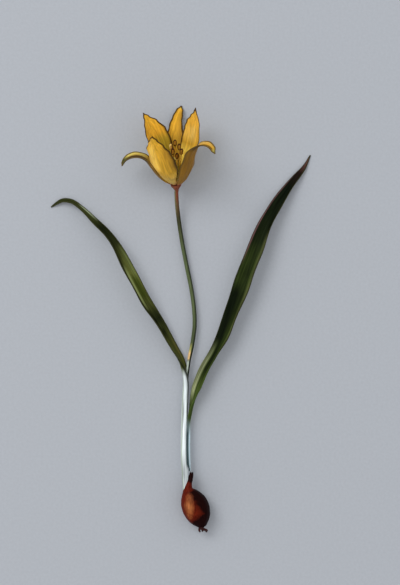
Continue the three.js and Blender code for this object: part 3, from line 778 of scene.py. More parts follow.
# Thin petal tissue, smooth and faintly silky, that lets some light through. The eye gets a deep
# golden yellow with fine darker veins and a thin brown margin, red-brown where the tepal joins
# the stem, and on the outer whorl a brown and olive back.
def silky_petal(name, inside, back, patches, margin):
    made, tree, shader = finish(
        name, Roughness=0.55, Specular_IOR_Level=0.1, IOR=1.4, Sheen_Weight=0.05, Sheen_Roughness=0.4,
        Subsurface_Weight=0.1, Subsurface_Scale=0.5 * MM,
    )
    shader.inputs["Subsurface Radius"].default_value = (1.0, 0.6, 0.1)
    along, across, outside, skin = blade_places(tree)
    front = add(tree, "ShaderNodeValToRGB", {"Fac": along}, stops=inside)
    behind = add(tree, "ShaderNodeValToRGB", {"Fac": along}, stops=back)
    face = add(tree, "ShaderNodeMapRange", {"Value": outside, "From Min": -0.3, "From Max": 0.3})
    tone = add(tree, "ShaderNodeMix", {"Factor": face, "A": front, "B": behind}, data_type="RGBA")
    painted = patched(tree, tone, along, across, patches)
    # Streaks 1.3 mm apart and 16 mm long stand for veins that are finer than shows.
    streaks, pattern = streaked(tree, painted, skin, 1.3, 16, 0.72, 1.2)
    from_margin = add(tree, "ShaderNodeSeparateXYZ", {0: skin}).outputs["Z"]
    ragged = add(tree, "ShaderNodeTexNoise", {"Vector": skin, "Scale": 0.35, "Detail": 3.0})
    # The margin is brown for about 0.6 mm and fades over another 0.6 mm, with an uneven edge.
    wander = add(tree, "ShaderNodeMath", {0: from_margin, 1: ragged}, operation="ADD")
    edge = add(tree, "ShaderNodeMapRange", {"Value": wander, "From Min": 1.75, "From Max": 1.15})
    grown = add(tree, "ShaderNodeMapRange", {"Value": along, "From Min": 0.1, "From Max": 0.25})
    brown = add(tree, "ShaderNodeMath", {0: edge, 1: grown}, operation="MULTIPLY")
    colour = add(tree, "ShaderNodeMix", {"Factor": brown, "A": streaks, "B": margin}, data_type="RGBA")
    surfaced(tree, shader, colour, pattern, 0.25, 0.1)
    return made


# The dry outer skin of the bulb, thin as paper and satiny. The eye gets a dark red-brown that is near
# black on its right flank, which is painted shade, and on the beak, a chestnut spot that is a painted
# highlight, and fibres that catch the light.
def papery_tunic(highlight_chestnut, dark_red, black_and_shade):
    made, tree, shader = finish(
        "papery_tunic", Roughness=0.4, Specular_IOR_Level=0.02, IOR=1.5, Coat_Weight=0.01,
        Coat_Roughness=0.3,
    )
    place = add(tree, "ShaderNodeTexCoord").outputs["Object"]
    cloud = add(tree, "ShaderNodeTexNoise", {"Vector": place, "Scale": 1 / (4 * MM), "Detail": 5.0})
    # Painted shade darkens it to the right and towards the neck, in clouds 4 mm across.
    flank = add(tree, "ShaderNodeVectorMath", {
        0: place, 1: (0.083 / MM, 0.0555 / MM, -0.01 / MM),
    }, operation="DOT_PRODUCT").outputs["Value"]
    wander = add(tree, "ShaderNodeMath", {0: cloud, 1: 0.5}, operation="MULTIPLY")
    drift = add(tree, "ShaderNodeMath", {0: flank, 1: wander}, operation="ADD")
    # The neck stays red-brown and blackens to its torn end, as does the root end.
    height = add(tree, "ShaderNodeSeparateXYZ", {0: place}).outputs["Y"]
    for low, high, change in ((10.5, 13.5, -0.8), (15, 19.5, 0.8), (-3, -11, 1.2)):
        part = add(tree, "ShaderNodeMapRange", {
            "Value": height, "From Min": low * MM, "From Max": high * MM, "To Max": change,
        })
        drift = add(tree, "ShaderNodeMath", {0: drift, 1: part}, operation="ADD")
    tone = add(tree, "ShaderNodeValToRGB", {"Fac": drift}, stops=[
        (0.0, dark_red), (0.2, blend(dark_red, black_and_shade, 0.3)), (0.3, blend(dark_red, black_and_shade, 0.6)),
        (0.42, black_and_shade),
    ])
    # The spot of painted highlight is an upright oval on the upper side that fades outwards.
    to_highlight = add(tree, "ShaderNodeVectorMath", {0: place, 1: tuple(-MM * c for c in HIGHLIGHT_PLACE)})
    scaled = add(tree, "ShaderNodeVectorMath", {
        0: to_highlight, 1: tuple(1 / (MM * c) for c in HIGHLIGHT_REACH),
    }, operation="MULTIPLY")
    away = add(tree, "ShaderNodeVectorMath", {0: scaled}, operation="LENGTH").outputs["Value"]
    ragged = add(tree, "ShaderNodeMath", {0: away, 1: cloud}, operation="ADD")
    painted_highlight = add(tree, "ShaderNodeMapRange", {"Value": ragged, "From Min": 1.7, "From Max": 0.55})
    highlighted = add(tree, "ShaderNodeMix", {"Factor": painted_highlight, "A": tone, "B": highlight_chestnut}, data_type="RGBA")
    # Fibres 0.5 mm apart and 9 mm long.
    fibres, pattern = streaked(tree, highlighted, place, 0.5 * MM, 9 * MM, 0.6, 1.4)
    surfaced(tree, shader, fibres, pattern, 0.4, 0.1)
    return made


# Dead root bark, corky and matt. The eye gets a dark brown with paler flecks.
def corky_root(tone):
    made, tree, shader = finish("corky_root", Roughness=0.85, Specular_IOR_Level=0.25)
    place = add(tree, "ShaderNodeTexCoord").outputs["Object"]
    grain = add(tree, "ShaderNodeTexNoise", {"Vector": place, "Scale": 1 / (0.8 * MM), "Detail": 5.0})
    colour = add(tree, "ShaderNodeValToRGB", {"Fac": grain}, stops=[
        (0.35, tuple(0.5 * c for c in tone[:3]) + (1,)), (0.55, tone),
        (0.75, tuple(2.4 * c for c in tone[:3]) + (1,)),
    ])
    surfaced(tree, shader, colour, grain, 0.8, 0.2)
    return made


# Smooth green stalk with a thin wax bloom. The eye gets a soft sheen, a colour that runs from
# white below the ground through dull green to red-brown under the flower, and a darker right flank
# that is painted shade. The tones and patches run from the lowest to the highest place along y, in
# millimetres.
def smooth_stalk(tones, patches, lowest, highest):
    made, tree, shader = finish("smooth_stalk", Roughness=0.55, Specular_IOR_Level=0.1, IOR=1.45)
    place = add(tree, "ShaderNodeTexCoord").outputs["Object"]
    flank = add(tree, "ShaderNodeAttribute", attribute_name="flank").outputs["Fac"]
    parts = add(tree, "ShaderNodeSeparateXYZ", {0: place})
    along = add(tree, "ShaderNodeMapRange", {
        "Value": parts.outputs["Y"], "From Min": lowest * MM, "From Max": highest * MM,
    })
    across = add(tree, "ShaderNodeMapRange", {"Value": flank, "From Min": -1.0, "From Max": 1.0})
    tone = add(tree, "ShaderNodeValToRGB", {"Fac": along}, stops=tones)
    painted = patched(tree, tone, along, across, patches)
    # Streaks 0.5 mm apart and 20 mm long.
    streaks, pattern = streaked(tree, painted, place, 0.5 * MM, 20 * MM, 0.75, 1.25)
    surfaced(tree, shader, streaks, pattern, 0.3, 0.1)
    return made


# Moist flower tissue, as of a filament, ovary or stigma. The eye gets a soft, slightly
# translucent surface with a faint mottle, and darker ends.
def moist_tissue(name, low_tone, high_tone, roughness=0.5, change=(0.05, 0.9)):
    made, tree, shader = finish(
        name, Roughness=roughness, Specular_IOR_Level=0.15, IOR=1.4, Subsurface_Weight=0.1,
        Subsurface_Scale=0.5 * MM,
    )
    along = add(tree, "ShaderNodeAttribute", attribute_name="along").outputs["Fac"]
    tone = add(tree, "ShaderNodeValToRGB", {"Fac": along}, stops=list(zip(change, (low_tone, high_tone))))
    place = add(tree, "ShaderNodeTexCoord").outputs["Object"]
    mottle = add(tree, "ShaderNodeTexNoise", {"Vector": place, "Scale": 1 / (0.9 * MM), "Detail": 3.0})
    surfaced(tree, shader, shaded(tree, tone, mottle, 0.75, 1.2), mottle, 0.3, 0.05)
    return made


# Pollen, dry and powdery. The eye gets a matt golden brown that differs from grain to grain.
def powdery_pollen(tone):
    made, tree, shader = finish("powdery_pollen", Roughness=0.9, Specular_IOR_Level=0.2)
    place = add(tree, "ShaderNodeTexCoord").outputs["Object"]
    patch = add(tree, "ShaderNodeTexNoise", {"Vector": place, "Scale": 1 / (0.5 * MM), "Detail": 2.0})
    colour = add(tree, "ShaderNodeValToRGB", {"Fac": patch}, stops=[
        (0.3, tuple(0.55 * c for c in tone[:3]) + (1,)), (0.7, tone),
    ])
    tree.links.new(colour.outputs[0], shader.inputs["Base Color"])
    return made


# A studio floor of matt paper. The eye gets a plain pale grey with barely visible grain.
def matt_paper(tone):
    made, tree, shader = finish("matt_paper", Roughness=0.95, Specular_IOR_Level=0.1)
    place = add(tree, "ShaderNodeTexCoord").outputs["Object"]
    grain = add(tree, "ShaderNodeTexNoise", {"Vector": place, "Scale": 1 / (1.6 * MM), "Detail": 3.0})
    colour = shaded(tree, tone, grain, 0.97, 1.03)
    tree.links.new(colour.outputs[2], shader.inputs["Base Color"])
    return made


# Settings that a user would change


def colour_property(name, description, colour):
    return FloatVectorProperty(
        name=name, description=description, subtype="COLOR", size=4, min=0, max=1, default=linear(colour),
    )


def length_property(name, description, millimetres):
    return FloatProperty(
        name=name, description=description, unit="LENGTH", precision=5, min=0, default=millimetres * MM,
    )


class TulipBulbSettings(bpy.types.PropertyGroup):
    pleats: IntProperty(
        name="Pleats", description="Low lengthwise pleats round the tunic", default=8, min=0, max=40)
    pleat_height: length_property("Pleat Height", "How far the pleats stand out", 0.22)
    fibre_count: FloatProperty(
        name="Fibres", description="Lengthwise fibres round the tunic", default=46, min=0, max=200)
    fibre_height: length_property("Fibre Height", "How far the fibres stand out", 0.07)
    # The tunic's spot in this colour is a painted highlight.
    highlight_chestnut: colour_property("Chestnut", "Colour of the tunic's worn spot", "#a9653a")
    dark_red: colour_property("Dark Red", "Colour of most of the tunic", "#5e1b0c")
    # This colour is painted shade on the tunic's right flank, and it also darkens the beak and the root end.
    black_and_shade: colour_property("Black", "Colour of the tunic's thick, dark flank", "#1b0605")
    root_tone: colour_property("Root Colour", "Colour of the dead root stubs", "#33130f")


class TulipLeafSettings(bpy.types.PropertyGroup):
    vein_spacing: length_property("Vein Spacing", "Distance between the parallel veins", 0.95)
    vein_height: length_property("Vein Height", "How far the veins stand out", 0.07)
    midrib_height: length_property("Midrib Height", "How far the keel stands out behind", 0.28)
    margin_wave: length_property("Margin Wave", "How far the margins wave up and down", 0.45)
    buried_tone: colour_property("Buried Part", "Colour of the sheath below the ground", "#ccd0c9")
    green: colour_property("Green", "Colour of the blades' light stretches", "#5c612e")
    # This green is painted shade: the leaves' near-black stretches and strips and the stem's dark right
    # flank, and it darkens some of the stem's tones too.
    shade_green: colour_property("Deep Green", "Colour of the blades' dark stretches", "#0b1108")
    margin_tone: colour_property("Margin", "Colour of the blades' thin margins", "#3b3c22")
    stem_green: colour_property("Stem Green", "Colour of the middle of the stem", "#55603f")
    stem_red: colour_property("Stem Red", "Colour of the stem below the flower", "#824631")


class TulipFlowerSettings(bpy.types.PropertyGroup):
    veins: FloatProperty(
        name="Veins", description="Fine veins over half a tepal's width", default=11, min=0, max=60)
    vein_height: length_property("Vein Height", "How far the veins stand out", 0.05)
    midrib_height: length_property("Midrib Height", "How far a tepal's midrib stands out behind", 0.2)
    margin_wave: length_property("Margin Wave", "How far the margins wave in and out", 0.4)
    yellow: colour_property("Yellow", "Colour of the tepals' upper parts", "#efb436")
    ochre: colour_property("Ochre", "Colour of the tepals' lower parts", "#c49b30")
    back_brown: colour_property("Back", "Colour of the outer tepals' backs", "#906722")
    margin_brown: colour_property("Margin", "Colour of the tepals' thin margins", "#4e3710")
    pollen_radius: length_property("Pollen Radius", "Drawn larger than life, so that it shows", 0.07)
    hair_length: length_property("Hair Length", "Length of the hairs at the filaments' feet", 0.9)


class TulipStageSettings(bpy.types.PropertyGroup):
    floor_tone: colour_property("Floor", "Colour of the paper floor", "#b1b5bb")
    key_power: FloatProperty(
        name="Key Light", description="Power of the large soft lamp", default=33, min=0, unit="POWER")
    sky_strength: FloatProperty(
        name="Room Light", description="Strength of the even light all round", default=0.86, min=0)


# Building the pieces


def settle(piece, slot, *nodes):
    """Ties a finished piece to the plant's body and hides the solids that it replaces. The slot is not used.
    """
    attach(piece, "root")
    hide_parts(*nodes)


def leaf_stations(leaf):
    """Stations of a leaf, whose midrib first runs up the sheath's wall on its own side."""
    sheath = leaf["sheath"]
    sheath_width = sheath["radius"] * math.radians(sheath["wrap"])
    rows = []
    for y in sheath["reaches"]:
        x, _, z = stem_at(y)
        rows.append((x - leaf["side"] * sheath["radius"], y, z, sheath_width, sheath["wrap"], 0))
    rows = np.array(rows + leaf["blade"], float)
    shares = even_shares(rows[:, :3], LEAF_STATIONS)
    midrib = spline(rows[:, :3], shares)
    along = direction(rows[:, :3], shares)
    width, wrap, roll = spline(rows[:, 3:], shares).T
    if leaf["foot"]:
        narrowed = eased([(0, 0.3), (1, 1)], np.minimum(along_length(midrib) / leaf["foot"], 1))
        width, wrap = width * narrowed, wrap * narrowed
    level = unit(np.cross(along, (0, 0, 1)))
    up = np.cross(level, along)
    roll = np.radians(roll)[:, None]
    inward = leaf["side"] * level * np.cos(roll) + up * np.sin(roll)
    return midrib, along, inward, width, np.radians(wrap)


def leaf_wave(height, first):
    """Margins that wave gently, each on its own, from a first share along the leaf to its tip."""

    def wave(share, spread, length):
        free = np.clip((share - first) / 0.15, 0, 1) * np.clip((1 - share) / 0.1, 0, 1)
        turn = 2 * math.pi * length / LEAF_WAVE_LENGTH + np.where(spread > 0, 1.9, 0)
        return height / MM * free * np.abs(spread) ** 3 * np.sin(turn)

    return wave


def tepal_stations(turn, sway, cup, width, form, line):
    """Stations of a tepal in the flower's frame."""
    out = outward(turn)
    round_axis = np.array((-out[1], out[0], 0))
    shares = np.linspace(0, 1, len(line))
    rows = [
        out * radius + round_axis * sway * share**3 + np.array((0, 0, height))
        for (radius, height), share in zip(line, shares)
    ]
    even = even_shares(rows, TEPAL_STATIONS)
    midrib = spline(rows, even)
    along = direction(rows, even)
    inward = unit(np.cross(along, round_axis))
    share = np.linspace(0, 1, TEPAL_STATIONS)
    widths = eased([(at, part * width) for at, part, _ in form], share)
    wraps = eased([(at, wrap + cup * min(1, 4 * at)) for at, _, wrap in form], share)
    return midrib, along, inward, widths, np.radians(wraps)


def tepal_wave(height, phase):
    """Two shallow lengthwise folds beside the midrib, and margins that wave in and out."""

    def wave(share, spread, length):
        body = np.clip(share / 0.2, 0, 1) * np.clip((1 - share) / 0.25, 0, 1)
        fold = -0.5 * np.cos(2.6 * math.pi * spread) * (1 - spread**2)
        turn = 2 * math.pi * (length / TEPAL_WAVE_LENGTH) + phase + np.where(spread > 0, 2.1, 0)
        return height / MM * body * (fold + np.abs(spread) ** 3 * np.sin(turn))

    return wave


def filament_line(turn, radius, height):
    """A filament's middle line in the heart's frame, from the receptacle to its tip."""
    out = outward(turn)
    places = [(STAMEN_RING + bulge, rise) for bulge, rise in FILAMENT_BULGE] + [(radius, height)]
    return np.array([out * reach + np.array((0, 0, rise)) for reach, rise in places])


def anther_mesh(line):
    """Corners and faces of two pollen sacs side by side on a filament's tip, and how far each
    corner faces up."""
    along = direction(line, np.array([1.0]))[0]
    out = unit(np.array((along[0], along[1], 0)))
    round_axis = np.cross((0, 0, 1), out)
    front = np.cross(along, round_axis)
    sac_across, sac_deep, sac_offset, sides, stations = 0.72, 0.9, 0.5, 40, 34
    angles = turns(sides)
    cosine, sine = np.abs(np.cos(angles)), np.sin(angles)
    a = (cosine / sac_across) ** 2 + (sine / sac_deep) ** 2
    b = -2 * cosine * sac_offset / sac_across**2
    c = (sac_offset / sac_across) ** 2 - 1
    outline = (-b + np.sqrt(b * b - 4 * a * c)) / (2 * a)
    seam = np.exp(-((sine / 0.16) ** 2))  # the slit down each sac's outer side
    outline = outline * (1 - 0.12 * seam)
    heights = domed(stations)
    shrink = (1 - np.abs(heights) ** 2.4) ** 0.5 + 0.02
    middle = line[-1] + along * (ANTHER_LENGTH / 2 + SEAT_GAP / 2)
    middles = middle + heights[:, None] * along * ANTHER_LENGTH / 2
    corners, faces = loft(ring_grid(middles, round_axis, front, shrink[:, None] * outline))
    corners = moved(HEART_FRAME, corners)
    axis = np.repeat(moved(HEART_FRAME, middles), sides, axis=0)
    # How far each corner faces up; the wall's colour follows it, golden on top as painted light and dark
    # brown on the sides as painted shade.
    upward = unit(corners[:-2] - axis)[:, 2] * (1 - np.abs(np.repeat(heights, sides)) ** 4)
    return corners, faces, np.concatenate([upward, [0, 0]])


def heart_piece(name, heights, reaches, shares, finish):
    """A closed body round the heart's axis, from its reaches all round it at each height."""
    corners, faces = loft(ring_grid(upright(heights), (1, 0, 0), (0, 1, 0), reaches))
    share = ring_values(shares, reaches.shape[1])
    return mesh_piece(name, moved(HEART_FRAME, corners), faces, finish, {"along": share})


def bulb_mesh(settings):
    """Corners, faces and attributes of the pleated tunic, before the shaft's socket is cut."""
    sides, stations = 180, 130
    shares = np.linspace(0, 1, stations)
    slices = np.array(BULB_SLICES, float)
    middles = spline(slices[:, [1, 0, 3]], shares)
    halves = spline(np.column_stack([slices[:, 2], slices[:, 4], np.zeros(len(slices))]), shares)
    angles = turns(sides)
    oval = 1 / np.hypot(np.cos(angles) / halves[:, :1], np.sin(angles) / halves[:, 1:2])
    pleat = settings.pleat_height / MM * np.cos(settings.pleats * angles) * oval / oval.max()
    rings = ring_grid(middles, (1, 0, 0), (0, 0, -1), oval + pleat / 2)
    teeth = sum(height * np.sin(count * angles + phase) for height, count, phase in NECK_TEETH)
    torn = np.maximum((shares[:, None] - NECK_TORN_FROM) / (1 - NECK_TORN_FROM), 0) ** 2
    rings[..., 1] += torn * teeth
    corners, faces = loft(rings)
    corners[-1, 1] -= NECK_HOLLOW
    corners[:, 2] = np.maximum(corners[:, 2], 0)
    around = np.tile(1 - 2 * np.abs(angles / math.pi - 1), stations)
    # The share across stays within 0.8, past which veins fade towards a blade's margins, because
    # the fibres run all round the tunic.
    attributes = {
        "along": ring_values(shares, sides),
        "across": np.concatenate([around * 0.8, [0, 0]]),
        "outside": np.zeros(len(corners)),
    }
    return corners, faces, attributes


def socket_mesh():
    """Corners and faces of the space in the bulb in which the shaft stands."""
    foot = np.array(STEM_LINE[0]) - direction(STEM_LINE, np.array([0.0]))[0] * SEAT_GAP
    line = [tuple(foot)] + [tuple(stem_at(y)) for y in SOCKET_REACHES]
    shares = even_shares(line, 40)
    middles = spline(line, shares)
    along = direction(line, shares)
    right = unit(np.cross(along, (0, 0, 1)))
    radius = LEFT_LEAF["sheath"]["radius"] + SHEATH_HALF_WALL + SEAT_GAP
    return loft(ring_grid(middles, right, np.cross(right, along), np.full((40, 64), radius)))


def cut(piece, corners, faces):
    """Cuts a closed space out of a piece."""
    tool = mesh_piece("cutter", corners, faces)
    modifier = piece.modifiers.new("cut", "BOOLEAN")
    modifier.object = tool
    modifier.solver = "EXACT"
    make_plain(piece, modifier)
    bpy.data.objects.remove(tool)


class TULIP_OT_bulb(bpy.types.Operator):
    """Makes the bulb in its dry tunic, with a socket for the shaft that grows out of it"""

    bl_idname = "tulip.bulb"
    bl_label = "Bulb"

    def execute(self, context):
        settings = context.scene.tulip_bulb
        skin = papery_tunic(*tones_of(settings, "highlight_chestnut", "dark_red", "black_and_shade"))
        corners, faces, attributes = bulb_mesh(settings)
        bulb = mesh_piece("tunic", corners, faces, skin, attributes)
        run_tree(bulb, vein_tree(), {
            "Vein Count": settings.fibre_count,
            "Vein Height": settings.fibre_height,
            "Midrib Height": 0.0,
            "Unevenness": 1.0,
            "Finish": skin,
        })
        cut(bulb, *socket_mesh())
        settle(bulb, "tunic", "bulb")
        return {"FINISHED"}


class TULIP_OT_roots(bpy.types.Operator):
    """Makes the basal plate with the stubs of last year's roots"""

    bl_idname = "tulip.roots"
    bl_label = "Roots"

    def execute(self, context):
        lines, radii = [], []
        for line, radius in ROOT_STUBS:
            shares = np.linspace(0, 1, 24)
            lines.append(spline(line, shares))
            radii.append(radius * (1 - ROOT_TAPER * shares))
        low, high = PLATE["y"]
        high += PLATE_OVERLAP
        plate = [(PLATE["x"], low + (high - low) * s, PLATE["z"]) for s in np.linspace(0, 1, 8)]
        lines.append(np.array(plate))
        radii.append(np.linspace(*PLATE["radius"], 8))
        roots = path_piece("roots", lines, radii)
        run_tree(roots, rod_tree(), {
            "Sides": 18,
            "Bump Height": 0.5 * MM,
            "Bump Size": 0.9 * MM,
            "Finish": corky_root(tuple(context.scene.tulip_bulb.root_tone)),
        })
        settle(roots, "roots", "basal_plate")
        return {"FINISHED"}


class TULIP_OT_stem(bpy.types.Operator):
    """Makes the stem, which swells into the receptacle under the flower"""

    bl_idname = "tulip.stem"
    bl_label = "Stem"

    def execute(self, context):
        leaf = context.scene.tulip_leaf
        count = 420
        shares = even_shares(STEM_LINE, count)
        line = spline(STEM_LINE, shares)
        radius = eased(STEM_RADIUS, np.linspace(0, 1, count))
        heights = np.linspace(RECEPTACLE[0][0], RECEPTACLE[-1][0], 24)
        kept = line[:, 1] < moved(FLOWER_FRAME, np.array([(0, 0, heights[0])]))[0, 1] - 1
        head = moved(FLOWER_FRAME, upright(heights))
        swell = spline([(h, r, 0) for h, r in RECEPTACLE], np.linspace(0, 1, len(heights)))[:, 1]
        stem = path_piece("stalk", [np.vstack([line[kept], head])], [np.concatenate([radius[kept], swell])])
        white, green, red, deep = tones_of(leaf, "buried_tone", "stem_green", "stem_red", "shade_green")
        # The patches are a dark right flank of painted shade, a blackish stretch of painted shade in the
        # slit by the leaves' fork, yellow-green and pale stretches there, a cream stretch there that is a
        # painted highlight on the left flank, and an olive left flank under the flower.
        skin = smooth_stalk([
            (0.0, white), (0.24, white), (0.3, blend(green, deep, 0.5)), (0.5, blend(green, deep, 0.3)),
            (0.62, green), (0.8, green), (0.9, blend(blend(green, red, 0.2), deep, 0.65)),
            (0.94, blend(blend(green, red, 0.5), deep, 0.2)), (0.97, red), (1.0, red),
        ], [
            (deep, [(0.28, 0), (0.32, 1), (0.85, 1), (0.93, 0.3)], [(0.55, 0), (0.85, 0.8)]),
            ("#141d0b", plateau(0.35, 0.38, 0.46, 0.5), [(0.5, 0), (0.72, 1)]),
            ("#b8b468", [(0.462, 0), (0.47, 0.9), (0.482, 0.8), (0.5, 0)], [(0.35, 1), (0.6, 0)]),
            ("#efc588", plateau(0.441, 0.449, 0.466, 0.476), [(0.4, 1), (0.65, 0)]),
            ("#c6d0c4", plateau(0.35, 0.38, 0.436, 0.446, 0.9), [(0.45, 1), (0.65, 0)]),
            ("#6b6b48", plateau(0.9, 0.94, 0.98, 1.0, 0.9), [(0.2, 1), (0.42, 0)]),
        ], lowest=6, highest=208)
        run_tree(stem, rod_tree(), {
            "Sides": 24, "Bump Height": 0.12 * MM, "Bump Size": 4.0 * MM, "Finish": skin,
        })
        settle(stem, "stem", "stem")
        return {"FINISHED"}


class TULIP_OT_leaves(bpy.types.Operator):
    """Makes the two leaves, from the sheaths round the stem to their tips"""

    bl_idname = "tulip.leaves"
    bl_label = "Leaves"

    def execute(self, context):
        leaf = context.scene.tulip_leaf
        white, green, deep, margin = tones_of(leaf, "buried_tone", "green", "shade_green", "margin_tone")
        left_skin = waxy_leaf(
            "waxy_left_leaf",
            # Past the white sheath the tone runs between green and near-black stretches that are painted
            # shade.
            [(0.0, white), (0.34, white)] + run_between(deep, green, [
                (0.365, 0.8), (0.42, 0.62), (0.475, 0.35), (0.52, 0.06), (0.54, 0.15), (0.56, 0.4),
                (0.59, 0.65), (0.665, 0.95), (0.72, 0.5), (0.76, 0.15), (0.82, 0.06), (0.86, 0.3),
                (0.93, 0.22), (1.0, 0.1),
            ]),
            # Of these patches the near-black strips are painted shade, and the pale strips of #8f995f and
            # #8a9450 are painted highlights.
            [(deep, plateau(0.5, 0.55, 0.72, 0.8, 0.9), [(0.1, 1), (0.26, 0)]),
             (deep, [(0.45, 0), (0.48, 0.8), (0.5, 0)], plateau(0.2, 0.3, 0.6, 0.75)),
             ("#8f995f", plateau(0.55, 0.59, 0.66, 0.7, 0.9), plateau(0.14, 0.22, 0.34, 0.44)),
             ("#38430f", plateau(0.57, 0.6, 0.645, 0.67, 0.7), plateau(0.4, 0.5, 0.8, 0.9)),
             ("#76804a", plateau(0.64, 0.68, 0.72, 0.76, 0.6), [(0.62, 0), (0.8, 1)]),
             ("#40381b", plateau(0.37, 0.4, 0.43, 0.47, 0.6), [(0.6, 0), (0.8, 1)]),
             (deep, plateau(0.2, 0.24, 0.37, 0.4, 0.9), [(0.1, 1), (0.17, 0)]),
             (deep, plateau(0.355, 0.37, 0.42, 0.47, 0.8), [(0.18, 1), (0.32, 0)]),
             ("#8a9450", plateau(0.355, 0.37, 0.43, 0.47, 0.8), [(0.3, 0), (0.37, 1), (0.44, 0)]),
             ("#8f9a7c", plateau(0.84, 0.87, 0.9, 0.92, 0.8), [(0.66, 0), (0.85, 1)]),
             ("#77855c", [(0.02, 0.8), (0.3, 0.8), (0.35, 0)], [(0.34, 0), (0.42, 1), (0.5, 0)])],
            margin, margin_width=0.7,
        )
        right_skin = waxy_leaf(
            "waxy_right_leaf",
            # Past the pale sheath the tone runs between green and near-black stretches that are painted
            # shade, to a reddish tip.
            [(0.0, linear("#c0d2d1")), (0.1, linear("#c0d2d1"))] + run_between(deep, linear("#55672c"), [
                (0.15, 0.6), (0.24, 0.6), (0.32, 0.4), (0.42, 0.25), (0.49, 0.15), (0.54, 0.15),
                (0.585, 0.28), (0.645, 0.26), (0.7, 0.06), (0.8, 0.02), (0.88, 0.0),
            ]) + [(0.94, linear("#1a100c")), (1.0, linear("#6a4640"))],
            # Of these patches the dark teal strip on the sheath's margin is a painted shadow line, the
            # near-black strips are painted shade, and the pale strip of #8f966c is partly the paler inner
            # face and partly a painted highlight.
            [("#364544", [(0.11, 1), (0.16, 0)], [(0.7, 0), (0.82, 1)]),
             ("#8f966c", [(0.19, 0), (0.23, 1), (0.33, 0.9), (0.4, 0)], [(0.24, 1), (0.36, 0)]),
             (deep, [(0.24, 0), (0.3, 0.8), (0.36, 0.8), (0.42, 0.3), (0.55, 0.3), (0.6, 0.6), (0.7, 0)],
              [(0.1, 0.4), (0.3, 0.4), (0.45, 1), (0.66, 1), (0.82, 0)]),
             (deep, plateau(0.36, 0.4, 0.54, 0.575, 0.9), [(0.42, 1), (0.62, 0)]),
             ("#4d5230", plateau(0.34, 0.44, 0.71, 0.75, 0.7), [(0.78, 0), (0.9, 1)]),
             ("#7a5558", [(0.62, 0), (0.7, 0.9), (1.0, 1)], [(0.06, 1), (0.13, 0)])],
            linear("#2f3019"), margin_width=0.6,
        )
        veins = vein_tree()
        for name, form, skin, first in (
            ("left", LEFT_LEAF, left_skin, 0.4), ("right", RIGHT_LEAF, right_skin, 0.25),
        ):
            stations = leaf_stations(form)
            piece = blade_piece(
                f"leaf_{name}_blade", stations, LEAF_THICKNESS, LEAF_COLUMNS,
                wave=leaf_wave(leaf.margin_wave, first),
            )
            run_tree(piece, veins, {
                "Vein Count": float(round(stations[3].max() / 2 * MM / leaf.vein_spacing)),
                "Vein Height": leaf.vein_height,
                "Midrib Height": leaf.midrib_height,
                "Finish": skin,
            })
            settle(piece, "leaf", f"leaf_{name}")
        return {"FINISHED"}


